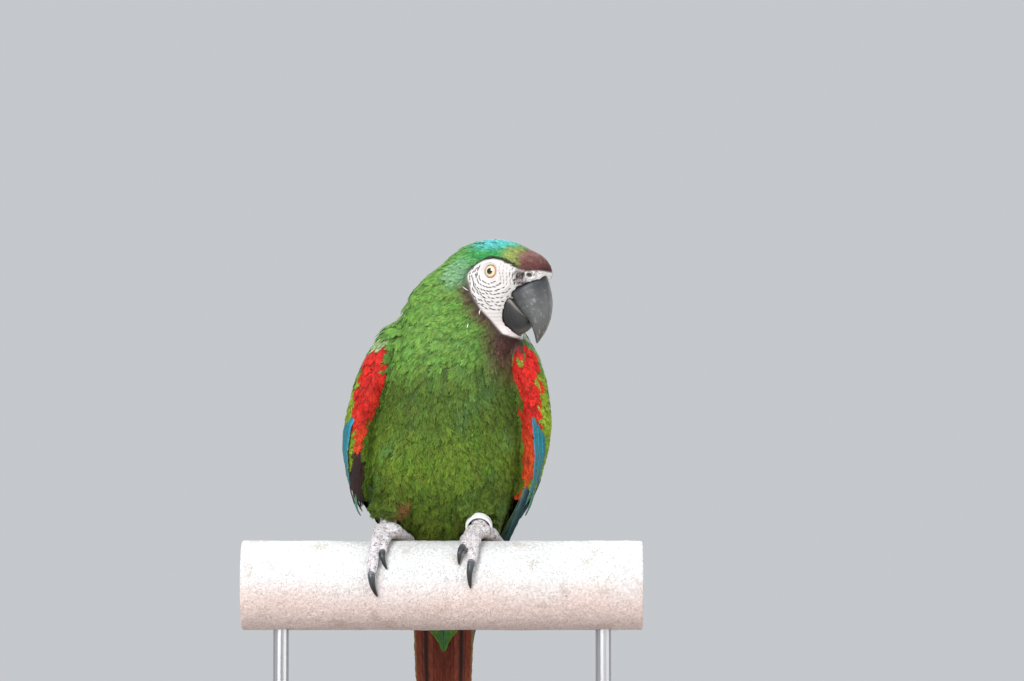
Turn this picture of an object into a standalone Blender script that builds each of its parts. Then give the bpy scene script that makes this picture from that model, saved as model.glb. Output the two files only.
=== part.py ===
"""Chestnut-fronted macaw at life size, perched on a short cut length of round perch on a display stand.

Run with: blender --background --python part.py
The bird faces -Y with its head turned to its own left (+X). Metres, +Z up; the origin is the middle of
the underside of the stand's base. The feathers of the body are part of the solids' outline.
"""

import math

import bmesh
import bpy
import numpy as np
from mathutils import Matrix, Vector

MM = 0.001
GAP = 0.4 * MM  # clearance that cutters leave between neighbouring pieces

# Stand and perch
BASE_SIZE = (250 * MM, 210 * MM, 14 * MM)
BASE_CORNER = 30 * MM
ROD_RADIUS = 4.5 * MM
ROD_SPACING = 186 * MM
ROD_SOCKET = 8 * MM
PERCH_RADIUS = 26 * MM
PERCH_LENGTH = 232 * MM
PERCH_TOP = 250 * MM
PERCH_Y = -14 * MM

# Places of the bird, from the middle of the perch's top line
PERCH_POINT = Vector((0, PERCH_Y, PERCH_TOP))
BODY_LEAN = math.radians(28)  # of the trunk's axis, back from the vertical
TAIL_BASE = Vector((0, 60, -28)) * MM
HEAD_PLACE = Vector((35.0, -22, 154.5)) * MM
HEAD_TURN = math.radians(60)
TAIL_BEND = math.radians(12)  # of the tail, forward from the trunk's axis

# Head
EYE_RADIUS = 5.2 * MM
EYE_PLACE = (13.9 * MM, 2 * MM, -2 * MM)  # to the side, forward and up from the head's own origin

# Tail and legs
TAIL_LENGTH = 202 * MM
TAIL_HALF_WIDTH = 14.5 * MM
FEATHER_THICKNESS = 0.8 * MM
FEATHER_LAYER = 1.2 * MM  # from one tail feather to the next
TARSUS_RADIUS = 4.6 * MM
BAND_RADIUS = 7.8 * MM
BAND_WALL = 1.4 * MM
BAND_HEIGHT = 5.5 * MM
BAND_TILT = math.radians(62)  # of its axis from the vertical, towards the heel
BAND_PLACE = Vector((21.1, 4.2, 9.3)) * MM

# Cuts that part the body, and the detail of what is blended
HEAD_CUT = (2 * MM, -30 * MM)  # forward and up of the cut's middle in the head's frame
HEAD_CUT_TILT = math.radians(44.6)  # of the cut's normal, forward from the vertical
NECK_CUT = 160 * MM  # on the trunk's axis
CUTTER_SIZE = 0.5
BODY_VOXEL = 2 * MM
FOOT_VOXEL = 0.7 * MM
SIDEWAYS = Vector((1, 0, 0))

BODY_FRAME = Matrix.Translation(PERCH_POINT + TAIL_BASE) @ Matrix.Rotation(BODY_LEAN, 4, "X")
TAIL_FRAME = BODY_FRAME @ Matrix.Rotation(-TAIL_BEND, 4, "X")
HEAD_FRAME = Matrix.Translation(PERCH_POINT + HEAD_PLACE) @ Matrix.Rotation(HEAD_TURN, 4, "Z")
FOOT_FRAME = Matrix.Translation(PERCH_POINT)


# ---------------------------------------------------------------- scene and helpers


def clear_scene():
    for obj in list(bpy.data.objects):
        bpy.data.objects.remove(obj, do_unlink=True)


def new_collection(name):
    collection = bpy.data.collections.new(name)
    bpy.context.scene.collection.children.link(collection)
    return collection


def material(name, colour, roughness, metallic=0.0):
    made = bpy.data.materials.new(name)
    made.use_nodes = True
    shader = made.node_tree.nodes["Principled BSDF"]
    shader.inputs["Base Color"].default_value = (*colour, 1)
    shader.inputs["Roughness"].default_value = roughness
    shader.inputs["Metallic"].default_value = metallic
    made.diffuse_color = (*colour, 1)
    return made


def object_from(name, mesh, frame=None, finish=None, cutter=False):
    obj = bpy.data.objects.new(name, mesh)
    obj.matrix_world = frame or Matrix.Identity(4)
    if finish:
        mesh.materials.clear()
        mesh.materials.append(finish)
    if cutter:
        obj.hide_render = True
        obj.display_type = "WIRE"
        cutters.objects.link(obj)
    else:
        mesh.shade_smooth()
        mesh.set_sharp_from_angle(angle=math.radians(40))
        pieces.objects.link(obj)
    return obj


def mesh_from(name, bm):
    bmesh.ops.recalc_face_normals(bm, faces=bm.faces)
    mesh = bpy.data.meshes.new(name)
    bm.to_mesh(mesh)
    bm.free()
    return mesh


def add_loft(bm, rings):
    """Adds a closed body through equal rings of points, with a flat cap on each end."""
    rows = [[bm.verts.new(point) for point in ring] for ring in rings]
    for low, high in zip(rows, rows[1:]):
        for i in range(len(low)):
            j = (i + 1) % len(low)
            bm.faces.new((low[i], low[j], high[j], high[i]))
    bm.faces.new(list(reversed(rows[0])))
    bm.faces.new(rows[-1])


def loft_mesh(name, rings):
    bm = bmesh.new()
    add_loft(bm, rings)
    return mesh_from(name, bm)


def smooth_rows(rows, steps):
    """Rows on a smooth curve through the given rows, with this many steps between each two."""
    rows = np.array(rows, float)
    padded = np.vstack([2 * rows[0] - rows[1], rows, 2 * rows[-1] - rows[-2]])
    made = []
    for a, b, c, d in zip(padded, padded[1:], padded[2:], padded[3:]):
        for t in np.arange(steps) / steps:
            cubic = 2 * a - 5 * b + 4 * c - d + t * (3 * (b - c) + d - a)
            made.append(b + 0.5 * t * (c - a + t * cubic))
    made.append(rows[-1])
    return np.array(made)


def baked(obj):
    """The object's mesh with its modifiers applied."""
    bpy.context.view_layer.update()
    graph = bpy.context.evaluated_depsgraph_get()
    return bpy.data.meshes.new_from_object(obj.evaluated_get(graph))


def grown(obj, gap=GAP, triangles=None):
    """A hidden copy of the object, larger by the gap on every side, to cut its neighbours with."""
    copy = object_from(obj.name + ".grown", obj.data.copy(), obj.matrix_world.copy(), cutter=True)
    if triangles:
        thin = copy.modifiers.new("Thin", "DECIMATE")
        thin.ratio = triangles / len(copy.data.polygons)
    swell = copy.modifiers.new("Swell", "DISPLACE")
    swell.strength = gap
    swell.mid_level = 0
    return copy


def boolean(obj, cutter, operation="DIFFERENCE"):
    cut = obj.modifiers.new("Cut", "BOOLEAN")
    cut.operation = operation
    cut.object = cutter
    return cut


def carve(obj, neighbours):
    for neighbour in neighbours:
        boolean(obj, grown(neighbour))


def without_chips(obj):
    """Applies the object's cuts and keeps only its largest body, as a cut can leave chips."""
    mesh = baked(obj)
    bm = bmesh.new()
    bm.from_mesh(mesh)
    waiting = set(bm.verts)
    bodies = []
    while waiting:
        body, edge = set(), {next(vert for vert in bm.verts if vert in waiting)}
        while edge:
            body |= edge
            edge = {e.other_vert(v) for v in edge for e in v.link_edges} - body
        bodies.append(body)
        waiting -= body
    bodies.sort(key=len)
    bmesh.ops.delete(bm, geom=[v for body in bodies[:-1] for v in body], context="VERTS")
    bm.to_mesh(mesh)
    bm.free()
    obj.modifiers.clear()
    obj.data = mesh


def blended(name, bm, voxel, smoothing, triangles, frame=None):
    """One smooth closed mesh from overlapping bodies, with about this many triangles."""
    obj = object_from(name, mesh_from(name, bm), frame, cutter=True)
    remesh = obj.modifiers.new("Blend", "REMESH")
    remesh.mode = "VOXEL"
    remesh.voxel_size = voxel
    soften = obj.modifiers.new("Soften", "SMOOTH")
    soften.factor = 0.5
    soften.iterations = smoothing
    full = len(baked(obj).polygons) * 2
    thin = obj.modifiers.new("Thin", "DECIMATE")
    thin.ratio = triangles / full
    thin.use_collapse_triangulate = True
    mesh = baked(obj)
    bpy.data.objects.remove(obj, do_unlink=True)
    return mesh


def add_ellipsoid(bm, frame, centre, radii, segments=32):
    place = frame @ Matrix.Translation(Vector(centre) * MM) @ Matrix.Diagonal((*(Vector(radii) * MM), 1))
    bmesh.ops.create_uvsphere(bm, u_segments=segments, v_segments=segments // 2, radius=1, matrix=place)


def box(name, size, frame):
    bm = bmesh.new()
    bmesh.ops.create_cube(bm, size=1, matrix=Matrix.Diagonal((*size, 1)))
    return object_from(name, mesh_from(name, bm), frame, cutter=True)


# ---------------------------------------------------------------- flesh: head, neck, trunk and thighs

RING_POINTS = 32
FLESH_TRIANGLES = 1250
COARSE_TRIANGLES = 600  # of the copy that hollows the wings' hidden inner sides
# Each row of the trunk: side shift, dorsal shift, height on the axis, half width, half depth (mm)
TRUNK_ROWS = (
    (2, -1, -6, 12, 8),
    (2, 0, 8, 19, 14),
    (1, 1, 24, 28, 21),
    (0, 1.5, 44, 37, 28),
    (0, 1.5, 68, 43.5, 34),
    (1.5, 0.5, 94, 45.5, 41),
    (3.5, 2, 120, 43.5, 41.5),
    (5.5, 3, 144, 39, 37.5),
    (7, 4, 162, 34, 32),
    (8, 4, 176, 27, 26),
)
# Each row of the neck: place from the perch point, half width, half depth (mm)
NECK_ROWS = (
    (6, -9, 112, 31, 26),
    (7, -10, 122, 32.5, 29),
    (8, -10.5, 132, 31, 28),
    (11, -11, 144, 28, 25.5),
    (16, -12, 154, 23, 21),
    (20, -13, 162, 15, 14),
)
# Each row of the head: forward, top, bottom, half width (mm), from the point between the eyes
HEAD_ROWS = (
    (-39, 1, -14, 7),
    (-35, 8, -24, 14),
    (-27, 14.5, -33, 18.5),
    (-16, 18.2, -39, 20.8),
    (-4, 19.2, -41, 20.8),
    (4.5, 18, -37, 19.3),
    (12, 15.4, -20.5, 16.4),
    (19.3, 11.9, -14.6, 14.4),
    (26, 7.2, -9.5, 11.5),
    (29.8, 2.6, -5.5, 7.8),
)
CHIN = ((0, -2.5, -37), (11.5, 10.5, 6.5))  # middle and radii in the head's frame (mm)
THIGHS = {"left": (23, 19, 27), "right": (-25, 18, 27)}  # middle of each thigh, from the perch point (mm)
THIGH_RADII = (15, 17, 25)
THIGH_CUT_SHIFT = (0, -2, -3)  # of the ellipsoid that parts a thigh from the trunk
THIGH_CUT_MARGIN = (2, 4, 2)


def turn(count):
    return [2 * math.pi * i / count for i in range(count)]


def oval(x, y, width, depth, z=0.0, count=RING_POINTS):
    """Points of a flat oval of these half sizes round its middle."""
    return [Vector((x + width * math.cos(a), y + depth * math.sin(a), z)) for a in turn(count)]


def trunk_rings(frame):
    for x, dorsal, height, width, depth in smooth_rows(TRUNK_ROWS, 4) * MM:
        yield [frame @ point for point in oval(x, dorsal, width, depth, height)]


def neck_rings(frame):
    for x, y, z, width, depth in smooth_rows(NECK_ROWS, 3) * MM:
        yield [frame @ point for point in oval(x, y, width, depth, z)]


def head_rings(frame):
    for forward, top, bottom, width in smooth_rows(HEAD_ROWS, 3) * MM:
        middle, half = (top + bottom) / 2, (top - bottom) / 2
        yield [frame @ Vector((p.x, -forward, p.y)) for p in oval(0, middle, width, half)]


def flesh_mesh():
    bm = bmesh.new()
    add_loft(bm, trunk_rings(BODY_FRAME))
    add_loft(bm, neck_rings(FOOT_FRAME))
    add_loft(bm, head_rings(HEAD_FRAME))
    add_ellipsoid(bm, HEAD_FRAME, *CHIN)
    for place in THIGHS.values():
        add_ellipsoid(bm, FOOT_FRAME, place, THIGH_RADII)
    return blended("flesh", bm, voxel=BODY_VOXEL, smoothing=12, triangles=FLESH_TRIANGLES)


# ---------------------------------------------------------------- bill and eyes

# Each row of a bill: forward and up of the ridge, forward and up of the edge, half width (mm)
BILL_SIDE_POINTS = 6
UPPER_BILL_ROWS = (
    (23, -6.5, 7, -12, 7.5),
    (28.4, -4.4, 11.5, -15, 10.4),
    (31.2, -11.5, 14.6, -20.4, 10.2),
    (32.5, -19.5, 18, -25.6, 9.0),
    (31.6, -28, 20.8, -29.6, 7.0),
    (28.8, -35.4, 22.0, -34.2, 4.8),
    (25.8, -39.8, 22.5, -38.4, 2.8),
    (23.0, -43.2, 22.3, -42.4, 0.7),
)
LOWER_BILL_ROWS = (
    (-1, -31, 1, -17, 8.5),
    (4, -35.6, 5, -16.5, 11.4),
    (9, -37.6, 10.4, -17.6, 11.2),
    (14, -36.8, 14.8, -22.8, 9.6),
    (18, -33.8, 18, -26.8, 7.0),
    (20.4, -30.6, 20.2, -28.4, 4.6),
)


def bill_ring(ridge_forward, ridge_up, edge_forward, edge_up, width):
    """An arch from one edge over the ridge to the other; its open side is closed flat."""
    ring = []
    for i in range(-BILL_SIDE_POINTS, BILL_SIDE_POINTS + 1):
        down = (abs(i) / BILL_SIDE_POINTS) ** 1.6
        side = math.copysign((1 - (1 - down) ** 2.4) ** 0.62, i) * width
        forward = ridge_forward + (edge_forward - ridge_forward) * down
        up = ridge_up + (edge_up - ridge_up) * down
        ring.append(Vector((side, -forward, up)))
    return ring


def make_bill(name, rows, finish):
    rings = [bill_ring(*row) for row in smooth_rows(rows, 2) * MM]
    return object_from(name, loft_mesh(name, rings), HEAD_FRAME, finish)


def make_eye(side, sign):
    bm = bmesh.new()
    bmesh.ops.create_uvsphere(bm, u_segments=12, v_segments=7, radius=EYE_RADIUS)
    x, forward, up = EYE_PLACE
    place = HEAD_FRAME @ Matrix.Translation((sign * x, -forward, up)) @ Matrix.Rotation(math.pi / 2, 4, "Y")
    return object_from(f"eye_{side}", mesh_from(f"eye_{side}", bm), place, eye_finish)


# ---------------------------------------------------------------- wings

# Each row of a wing, along the trunk's axis: height, side and dorsal place of the leading edge's middle,
# its radius, side and dorsal place of the back edge (mm)
WING_ROWS = (
    (168, 33, 0, 3.5, 26, 20),
    (163, 37, -2, 6.5, 22, 28),
    (152, 42, -6, 8.6, 17, 36),
    (137, 47, -10, 9.4, 13, 43),
    (118, 51, -13, 9.0, 10, 47),
    (100, 52, -14, 7.6, 9, 47.5),
    (82, 50.5, -14, 5.8, 8.5, 45),
    (61, 45.5, -12, 4.2, 8, 39),
    (35, 35.5, -8, 3.0, 7, 30),
    (19, 31, -5.6, 2.6, 6.4, 24.4),
    (4, 26.8, -2.8, 2.3, 6, 18.8),
    (-13, 22.6, -0.4, 2.0, 6, 13.8),
    (-32, 19, 1, 1.8, 6, 10),
    (-54, 16, 0.5, 1.4, 6.5, 5),
    (-70, 13, -3, 1.0, 6, -0.5),
    (-80, 10, -6, 0.7, 8, -5),
)
WING_BACK_THICKNESS = 3.4 * MM
WING_TIP_THICKNESS = 1.4 * MM
WING_SIDE_POINTS = 7
WING_SHIFT = ((0, 1), (60, 0), (170, 7))  # how far the chest's turn moves a row sideways: height, shift (mm)
WING_TOP, COVERT_END, SECONDARY_END, WING_END = 168 * MM, 66 * MM, 2 * MM, -80 * MM
SECONDARY_NARROW = 30 * MM  # where the secondaries' layer starts to narrow to its tip
SECONDARY_START = math.radians(30)  # how far round from the leading edge the secondaries begin
SECONDARY_TIP_START = math.radians(68)
BACK_EDGE = math.radians(89)


def wing_section(row, start=0.0):
    """Outer points of a wing from its leading edge to its back edge, each with its angle, its outward
    direction and the wing's thickness there."""
    _, nose_x, nose_y, radius, back_x, back_y = row
    back = min(WING_BACK_THICKNESS, max(WING_TIP_THICKNESS, 1.3 * radius))
    reach_x, reach_y = nose_x + radius - back_x, back_y - nose_y
    for i in range(WING_SIDE_POINTS + 1):
        a = start + (math.pi / 2 - start) * i / WING_SIDE_POINTS
        point = Vector((back_x + reach_x * math.cos(a), nose_y + reach_y * math.sin(a)))
        outward = Vector((math.cos(a) * reach_y, math.sin(a) * reach_x)).normalized()
        yield a, point, outward, back + (2 * radius - back) * math.cos(a) ** 2


def wing_ring(row, sign, shift):
    """Outer arch of the whole wing, back along its inner side and round the leading edge."""
    outer, inner = [], []
    for _, point, outward, wall in wing_section(row):
        outer.append(point)
        inner.append(point - wall * outward)
    centre = (outer[0] + inner[0]) / 2
    spoke = inner[0] - centre
    nose = [centre + Matrix.Rotation(math.pi * step / 6, 2) @ spoke for step in range(1, 6)]
    return [Vector((sign * p.x + shift, p.y, row[0])) for p in outer + inner[::-1] + nose]


def secondary_ring(row, sign, shift, margin=0.0):
    """The back part of the wing, above the primaries; the margin makes a cutter of it."""
    narrowing = max(0, (SECONDARY_NARROW - row[0]) / (SECONDARY_NARROW - SECONDARY_END))
    start = SECONDARY_START + (SECONDARY_TIP_START - SECONDARY_START) * min(1, narrowing) ** 1.5
    outer, inner = [], []
    for a, point, outward, wall in wing_section(row, start - margin / (15 * MM)):
        beyond = Vector((-4 * margin if a > BACK_EDGE else 0, 0))
        outer.append(point + 2 * margin * outward + beyond)
        inner.append(point - (wall + 6 * margin) * outward + beyond)
    return [Vector((sign * p.x + shift, p.y, row[0])) for p in outer + inner[::-1]]


def secondary_cutter_ring(row, sign, shift):
    return secondary_ring(row, sign, shift, margin=GAP)


def make_wing_piece(name, ring, sign, top, end, finish=None):
    """The stretch of a wing between two heights on the trunk's axis; without a finish it is a cutter."""
    rows = np.array(WING_ROWS) * MM
    columns = [np.interp([top, end], rows[::-1, 0], column) for column in rows[::-1].T]
    first, last = np.array(columns).T
    between = rows[(rows[:, 0] < top - MM) & (rows[:, 0] > end + MM)]
    heights, shifts = np.array(WING_SHIFT).T * MM
    rings = []
    for row in (first, *between, last):
        row = row.tolist()
        rings.append(ring(row, sign, float(np.interp(row[0], heights, shifts))))
    return object_from(name, loft_mesh(name, rings), BODY_FRAME, finish, cutter=finish is None)


def make_wing(side, sign, body):
    """Coverts over the arm, secondaries and primaries of one folded wing, clear of the body."""
    secondaries = make_wing_piece(
        f"secondaries_{side}", secondary_ring, sign, COVERT_END - GAP, SECONDARY_END, blue_finish
    )
    primaries = make_wing_piece(f"primaries_{side}", wing_ring, sign, COVERT_END - GAP, WING_END, blue_finish)
    arm = make_wing_piece(f"wing_{side}", wing_ring, sign, WING_TOP, COVERT_END, green_finish)
    under_secondaries = make_wing_piece(
        f"under_secondaries_{side}", secondary_cutter_ring, sign, COVERT_END, SECONDARY_END - GAP
    )
    boolean(primaries, under_secondaries)
    for piece in (primaries, arm, secondaries):
        boolean(piece, body)
        without_chips(piece)
    return arm, secondaries, primaries


# ---------------------------------------------------------------- tail

TAIL_PAIRS = 6
TAIL_BACK = 1.6 * MM  # of the middle pair, behind the tail's axis
MIDLINE_GAP = 0.3 * MM
FEATHER_CAMBER = 0.5 * MM
# Each row of the tail's coverts: height on the tail's axis, half width, front and back surface (mm)
COVERT_ROWS = {
    "undertail_coverts": (
        (-2, 12, -11.5, -6),
        (-12, 10, -11, -6.4),
        (-22, 7, -10, -6.6),
        (-34, 1.6, -8.4, -7.2),
    ),
    "uppertail_coverts": (
        (-2, 12.5, 8.5, 3.2),
        (-16, 11.5, 7.5, 3.4),
        (-38, 8, 6.2, 3.6),
        (-55, 2.5, 5, 4),
    ),
}


def tail_feather(side, sign, pair, finish):
    """One tail feather; the middle pair is the longest and lies on the back of the others."""
    length = TAIL_LENGTH * (1 - 0.085 * pair - 0.004 * pair**2)
    depth = TAIL_BACK - pair * FEATHER_LAYER
    rings = []
    for t in (0, 0.35, 0.65, 0.85, 0.95, 1):
        spread = TAIL_HALF_WIDTH * (1 - 0.34 * t**3)
        outer = spread * (0.7 + 0.3 * pair / (TAIL_PAIRS - 1))
        inner = max(outer - 0.66 * spread, MIDLINE_GAP) if pair else MIDLINE_GAP
        taper = 1 - max(0, (t - 0.85) / 0.15) ** 2 * 0.86
        middle = inner + (outer - inner) * 0.45
        outer, inner = middle + (outer - middle) * taper, middle + (inner - middle) * taper
        half = FEATHER_THICKNESS / 2
        upper = [(outer, half), (middle, FEATHER_CAMBER + half), (inner, half)]
        lower = [(x, lift - FEATHER_THICKNESS) for x, lift in reversed(upper)]
        rings.append([Vector((sign * x, depth + lift, -length * t)) for x, lift in upper + lower])
    name = f"tail_feather_{side}_{pair + 1}"
    return object_from(name, loft_mesh(name, rings), TAIL_FRAME, finish)


def tail_coverts(name, finish):
    rings = []
    for height, width, front, back in smooth_rows(COVERT_ROWS[name], 1) * MM:
        middle, half = (front + back) / 2, abs(back - front) / 2
        rings.append(oval(0, middle, width, half, height, count=10))
    return object_from(name, loft_mesh(name, rings), TAIL_FRAME, finish)


# ---------------------------------------------------------------- legs, feet, claws and band

# Each toe: start and end of the toe and end of the claw, as (side place in mm, angle on the perch in
# degrees, positive to the front), then its radius at the root and at the claw (mm)
TOES = {
    "left": {
        "1": ((18, -4), (10, -46), (8, -68), 3.4, 2.4),
        "2": ((18, 2), (12.2, 38), (10, 65), 3.3, 2.2),
        "3": ((21, 4), (17, 60), (16.6, 95), 3.9, 2.6),
        "4": ((25, -2), (37, -66), (36, -98), 3.8, 2.6),
    },
    "right": {
        "1": ((-28, -2), (-15, -44), (-13, -66), 3.4, 2.4),
        "2": ((-30, 3), (-34.5, 46), (-32, 70), 3.3, 2.2),
        "3": ((-34, 2), (-40.5, 69), (-37.5, 105), 3.9, 2.6),
        "4": ((-34, -3), (-42, -70), (-40, -102), 3.8, 2.6),
    },
}
FOOT_TRIANGLES = 400
CLAW_LIFT = 1.9  # of a claw's arch off the perch (mm)
FOOT_X = {"left": 21.3, "right": -31.5}
HEEL = (0, 24, 21)  # from the foot's middle line on the perch (mm)
SOLE = (0, -1, 6.6)
PALM = (0, -2.2, 5.4)
PALM_RADII = (7.4, 6.4, 4.8)


def on_perch(x, degrees, height):
    """The point this far off the perch's surface, round from its top line."""
    angle = math.radians(degrees)
    reach = PERCH_RADIUS + height
    return Vector((x, -reach * math.sin(angle), reach * math.cos(angle) - PERCH_RADIUS))


def add_tube(bm, points, radii, sides=16):
    """A closed round body along the points."""
    rings = []
    for i, (point, radius) in enumerate(zip(points, radii)):
        along = (points[min(i + 1, len(points) - 1)] - points[max(i - 1, 0)]).normalized()
        across = (SIDEWAYS - along * SIDEWAYS.dot(along)).normalized()
        other = along.cross(across)
        rings.append([point + radius * (math.cos(a) * across + math.sin(a) * other) for a in turn(sides)])
    add_loft(bm, rings)


def add_toe(bm, root, end, thick, thin):
    """A toe bent round the perch, with a swelling at each joint."""
    points, radii = [], []
    steps = 14
    for i in range(steps + 1):
        t = i / steps
        swelling = 1 + 0.10 * math.sin(3 * math.pi * t) ** 2
        radius = (thick + (thin - thick) * t) * MM * swelling
        x = (root[0] + (end[0] - root[0]) * t**0.7) * MM
        points.append(on_perch(x, root[1] + (end[1] - root[1]) * t, radius + GAP))
        radii.append(radius)
    add_tube(bm, points, radii)


def leg_space(side):
    """The room that the tarsus, the base of the toes and the band take up, as a cutter for the flesh."""
    bm = bmesh.new()
    middle = Vector((FOOT_X[side], 0, 0))
    heel, sole = (middle + Vector(HEEL)) * MM, (middle + Vector(SOLE)) * MM
    room = TARSUS_RADIUS * 1.1 + 3 * GAP
    front = sole.lerp(heel, -0.6)
    back = heel + (heel - sole).normalized() * 3 * GAP
    add_tube(bm, [back, sole, front], [room, room * 1.1, room * 1.3], sides=12)
    return object_from(f"leg_space_{side}", mesh_from("leg_space", bm), FOOT_FRAME, cutter=True)


def toe_space(side, toe):
    """The room of one toe and its claw, as a cutter for the flesh."""
    root, end, tip, thick, thin = TOES[side][toe]
    points, radii = [], []
    for t in np.linspace(0, 1, 7).tolist():
        radius = (thick + (thin - thick) * t + CLAW_LIFT * t) * MM + 3 * GAP
        x = (root[0] + (end[0] - root[0]) * t**0.7) * MM
        points.append(on_perch(x, root[1] + (tip[1] - root[1]) * t, radius - 2 * GAP))
        radii.append(radius)
    bm = bmesh.new()
    add_tube(bm, points, radii, sides=8)
    name = f"toe_space_{side}_{toe}"
    return object_from(name, mesh_from(name, bm), FOOT_FRAME, cutter=True)


def make_foot(side, finish):
    """The bare tarsus and the four toes of one leg."""
    bm = bmesh.new()
    middle = Vector((FOOT_X[side], 0, 0))
    heel, sole = (middle + Vector(HEEL)) * MM, (middle + Vector(SOLE)) * MM
    tarsus = [heel, heel.lerp(sole, 0.5), sole]
    add_tube(bm, tarsus, [TARSUS_RADIUS * 1.1, TARSUS_RADIUS, TARSUS_RADIUS * 1.08])
    add_ellipsoid(bm, Matrix.Identity(4), middle + Vector(PALM), PALM_RADII)
    for root, end, _, thick, thin in TOES[side].values():
        add_toe(bm, root, end, thick, thin)
    mesh = blended(f"foot_{side}", bm, voxel=FOOT_VOXEL, smoothing=3, triangles=FOOT_TRIANGLES)
    return object_from(f"foot_{side}", mesh, FOOT_FRAME, finish)


def make_claw(side, toe, finish):
    _, root, tip, _, thick = TOES[side][toe]
    points, radii = [], []
    steps = 4
    for i in range(steps + 1):
        t = i / steps
        radius = (thick * 0.80 * (1 - t) ** 0.75 + 0.35) * MM
        lift = (CLAW_LIFT * math.sin(math.pi * min(1, t * 1.1 + 0.1)) + 0.2) * MM
        x = (root[0] + (tip[0] - root[0]) * t) * MM
        points.append(on_perch(x, root[1] - 3 + (tip[1] - root[1] + 3) * t, radius + lift + GAP))
        radii.append(radius)
    bm = bmesh.new()
    add_tube(bm, points, radii, sides=8)
    name = f"claw_{side}_{toe}"
    return object_from(name, mesh_from(name, bm), FOOT_FRAME, finish)


def make_band(finish):
    """A turned ring loose on the left tarsus."""
    bm = bmesh.new()
    half = BAND_HEIGHT / 2
    corners = ((0, -half), (0, half), (-BAND_WALL, half), (-BAND_WALL, -half))
    rings = []
    for a in turn(28):
        outward = Vector((math.cos(a), math.sin(a), 0))
        points = [(BAND_RADIUS + inward) * outward + Vector((0, 0, z)) for inward, z in corners]
        rings.append([bm.verts.new(point) for point in points])
    for ring, following in zip(rings, rings[1:] + rings[:1]):
        for i in range(4):
            bm.faces.new((ring[i], ring[(i + 1) % 4], following[(i + 1) % 4], following[i]))
    frame = FOOT_FRAME @ Matrix.Translation(BAND_PLACE) @ Matrix.Rotation(-BAND_TILT, 4, "X")
    return object_from("leg_band", mesh_from("leg_band", bm), frame, finish)


# ---------------------------------------------------------------- perch and stand


def cylinder(name, radius, length, frame, finish, sides=36, bevel=0.0):
    bm = bmesh.new()
    bmesh.ops.create_cone(bm, cap_ends=True, segments=sides, radius1=radius, radius2=radius, depth=length)
    obj = object_from(name, mesh_from(name, bm), frame, finish)
    if bevel:
        rim = obj.modifiers.new("Rim", "BEVEL")
        rim.width = bevel
        rim.segments = 1
        rim.limit_method = "ANGLE"
        rim.angle_limit = math.radians(40)
    return obj


def make_perch(finish):
    place = Matrix.Translation((0, PERCH_Y, PERCH_TOP - PERCH_RADIUS)) @ Matrix.Rotation(math.pi / 2, 4, "Y")
    return cylinder("perch", PERCH_RADIUS, PERCH_LENGTH, place, finish, bevel=1.5 * MM)


def make_base(finish):
    """A flat plate with round corners and a softened upper edge."""
    length, depth, height = BASE_SIZE
    bm = bmesh.new()
    bmesh.ops.create_cube(bm, size=1, matrix=Matrix.Diagonal((length, depth, height, 1)))
    upright = [e for e in bm.edges if abs(e.verts[0].co.z - e.verts[1].co.z) > height / 2]
    bmesh.ops.bevel(bm, geom=upright, offset=BASE_CORNER, segments=5, profile=0.5, affect="EDGES")
    bm.normal_update()
    top = [face for face in bm.faces if face.normal.z > 0.9]
    upper = [edge for face in top for edge in face.edges]
    bmesh.ops.bevel(bm, geom=upper, offset=2 * MM, segments=1, profile=0.5, affect="EDGES")
    place = Matrix.Translation((0, 0, height / 2))
    return object_from("stand_base", mesh_from("stand_base", bm), place, finish)


def make_rod(side, sign, finish):
    low, high = BASE_SIZE[2] - ROD_SOCKET, PERCH_TOP - 2 * PERCH_RADIUS + ROD_SOCKET
    place = Matrix.Translation((sign * ROD_SPACING / 2, PERCH_Y, (low + high) / 2))
    return cylinder(f"stand_rod_{side}", ROD_RADIUS, high - low, place, finish, sides=16)


# ---------------------------------------------------------------- build

clear_scene()
pieces = new_collection("chestnut_fronted_macaw")
cutters = new_collection("cutters")

green_finish = material("green_feathers", (0.16, 0.30, 0.03), 0.6)
blue_finish = material("flight_feathers", (0.05, 0.16, 0.20), 0.5)
red_finish = material("tail_feathers", (0.22, 0.06, 0.04), 0.5)
horn_finish = material("black_horn", (0.03, 0.03, 0.035), 0.35)
eye_finish = material("eye", (0.75, 0.66, 0.35), 0.1)
foot_finish = material("scaly_skin", (0.42, 0.38, 0.37), 0.6)
band_finish = material("band_metal", (0.85, 0.85, 0.83), 0.35)
perch_finish = material("cement_perch", (0.72, 0.66, 0.62), 0.9)
base_finish = material("stand_wood", (0.05, 0.045, 0.04), 0.5)
rod_finish = material("stand_steel", (0.5, 0.5, 0.5), 0.3, 1.0)


def half_space(name, frame):
    """A big box that fills the space above the frame's XY plane."""
    size = (CUTTER_SIZE, CUTTER_SIZE, CUTTER_SIZE)
    return box(name, size, frame @ Matrix.Translation((0, 0, CUTTER_SIZE / 2)))


def flesh_piece(name, flesh):
    return object_from(name, flesh.data.copy(), finish=green_finish)


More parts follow.
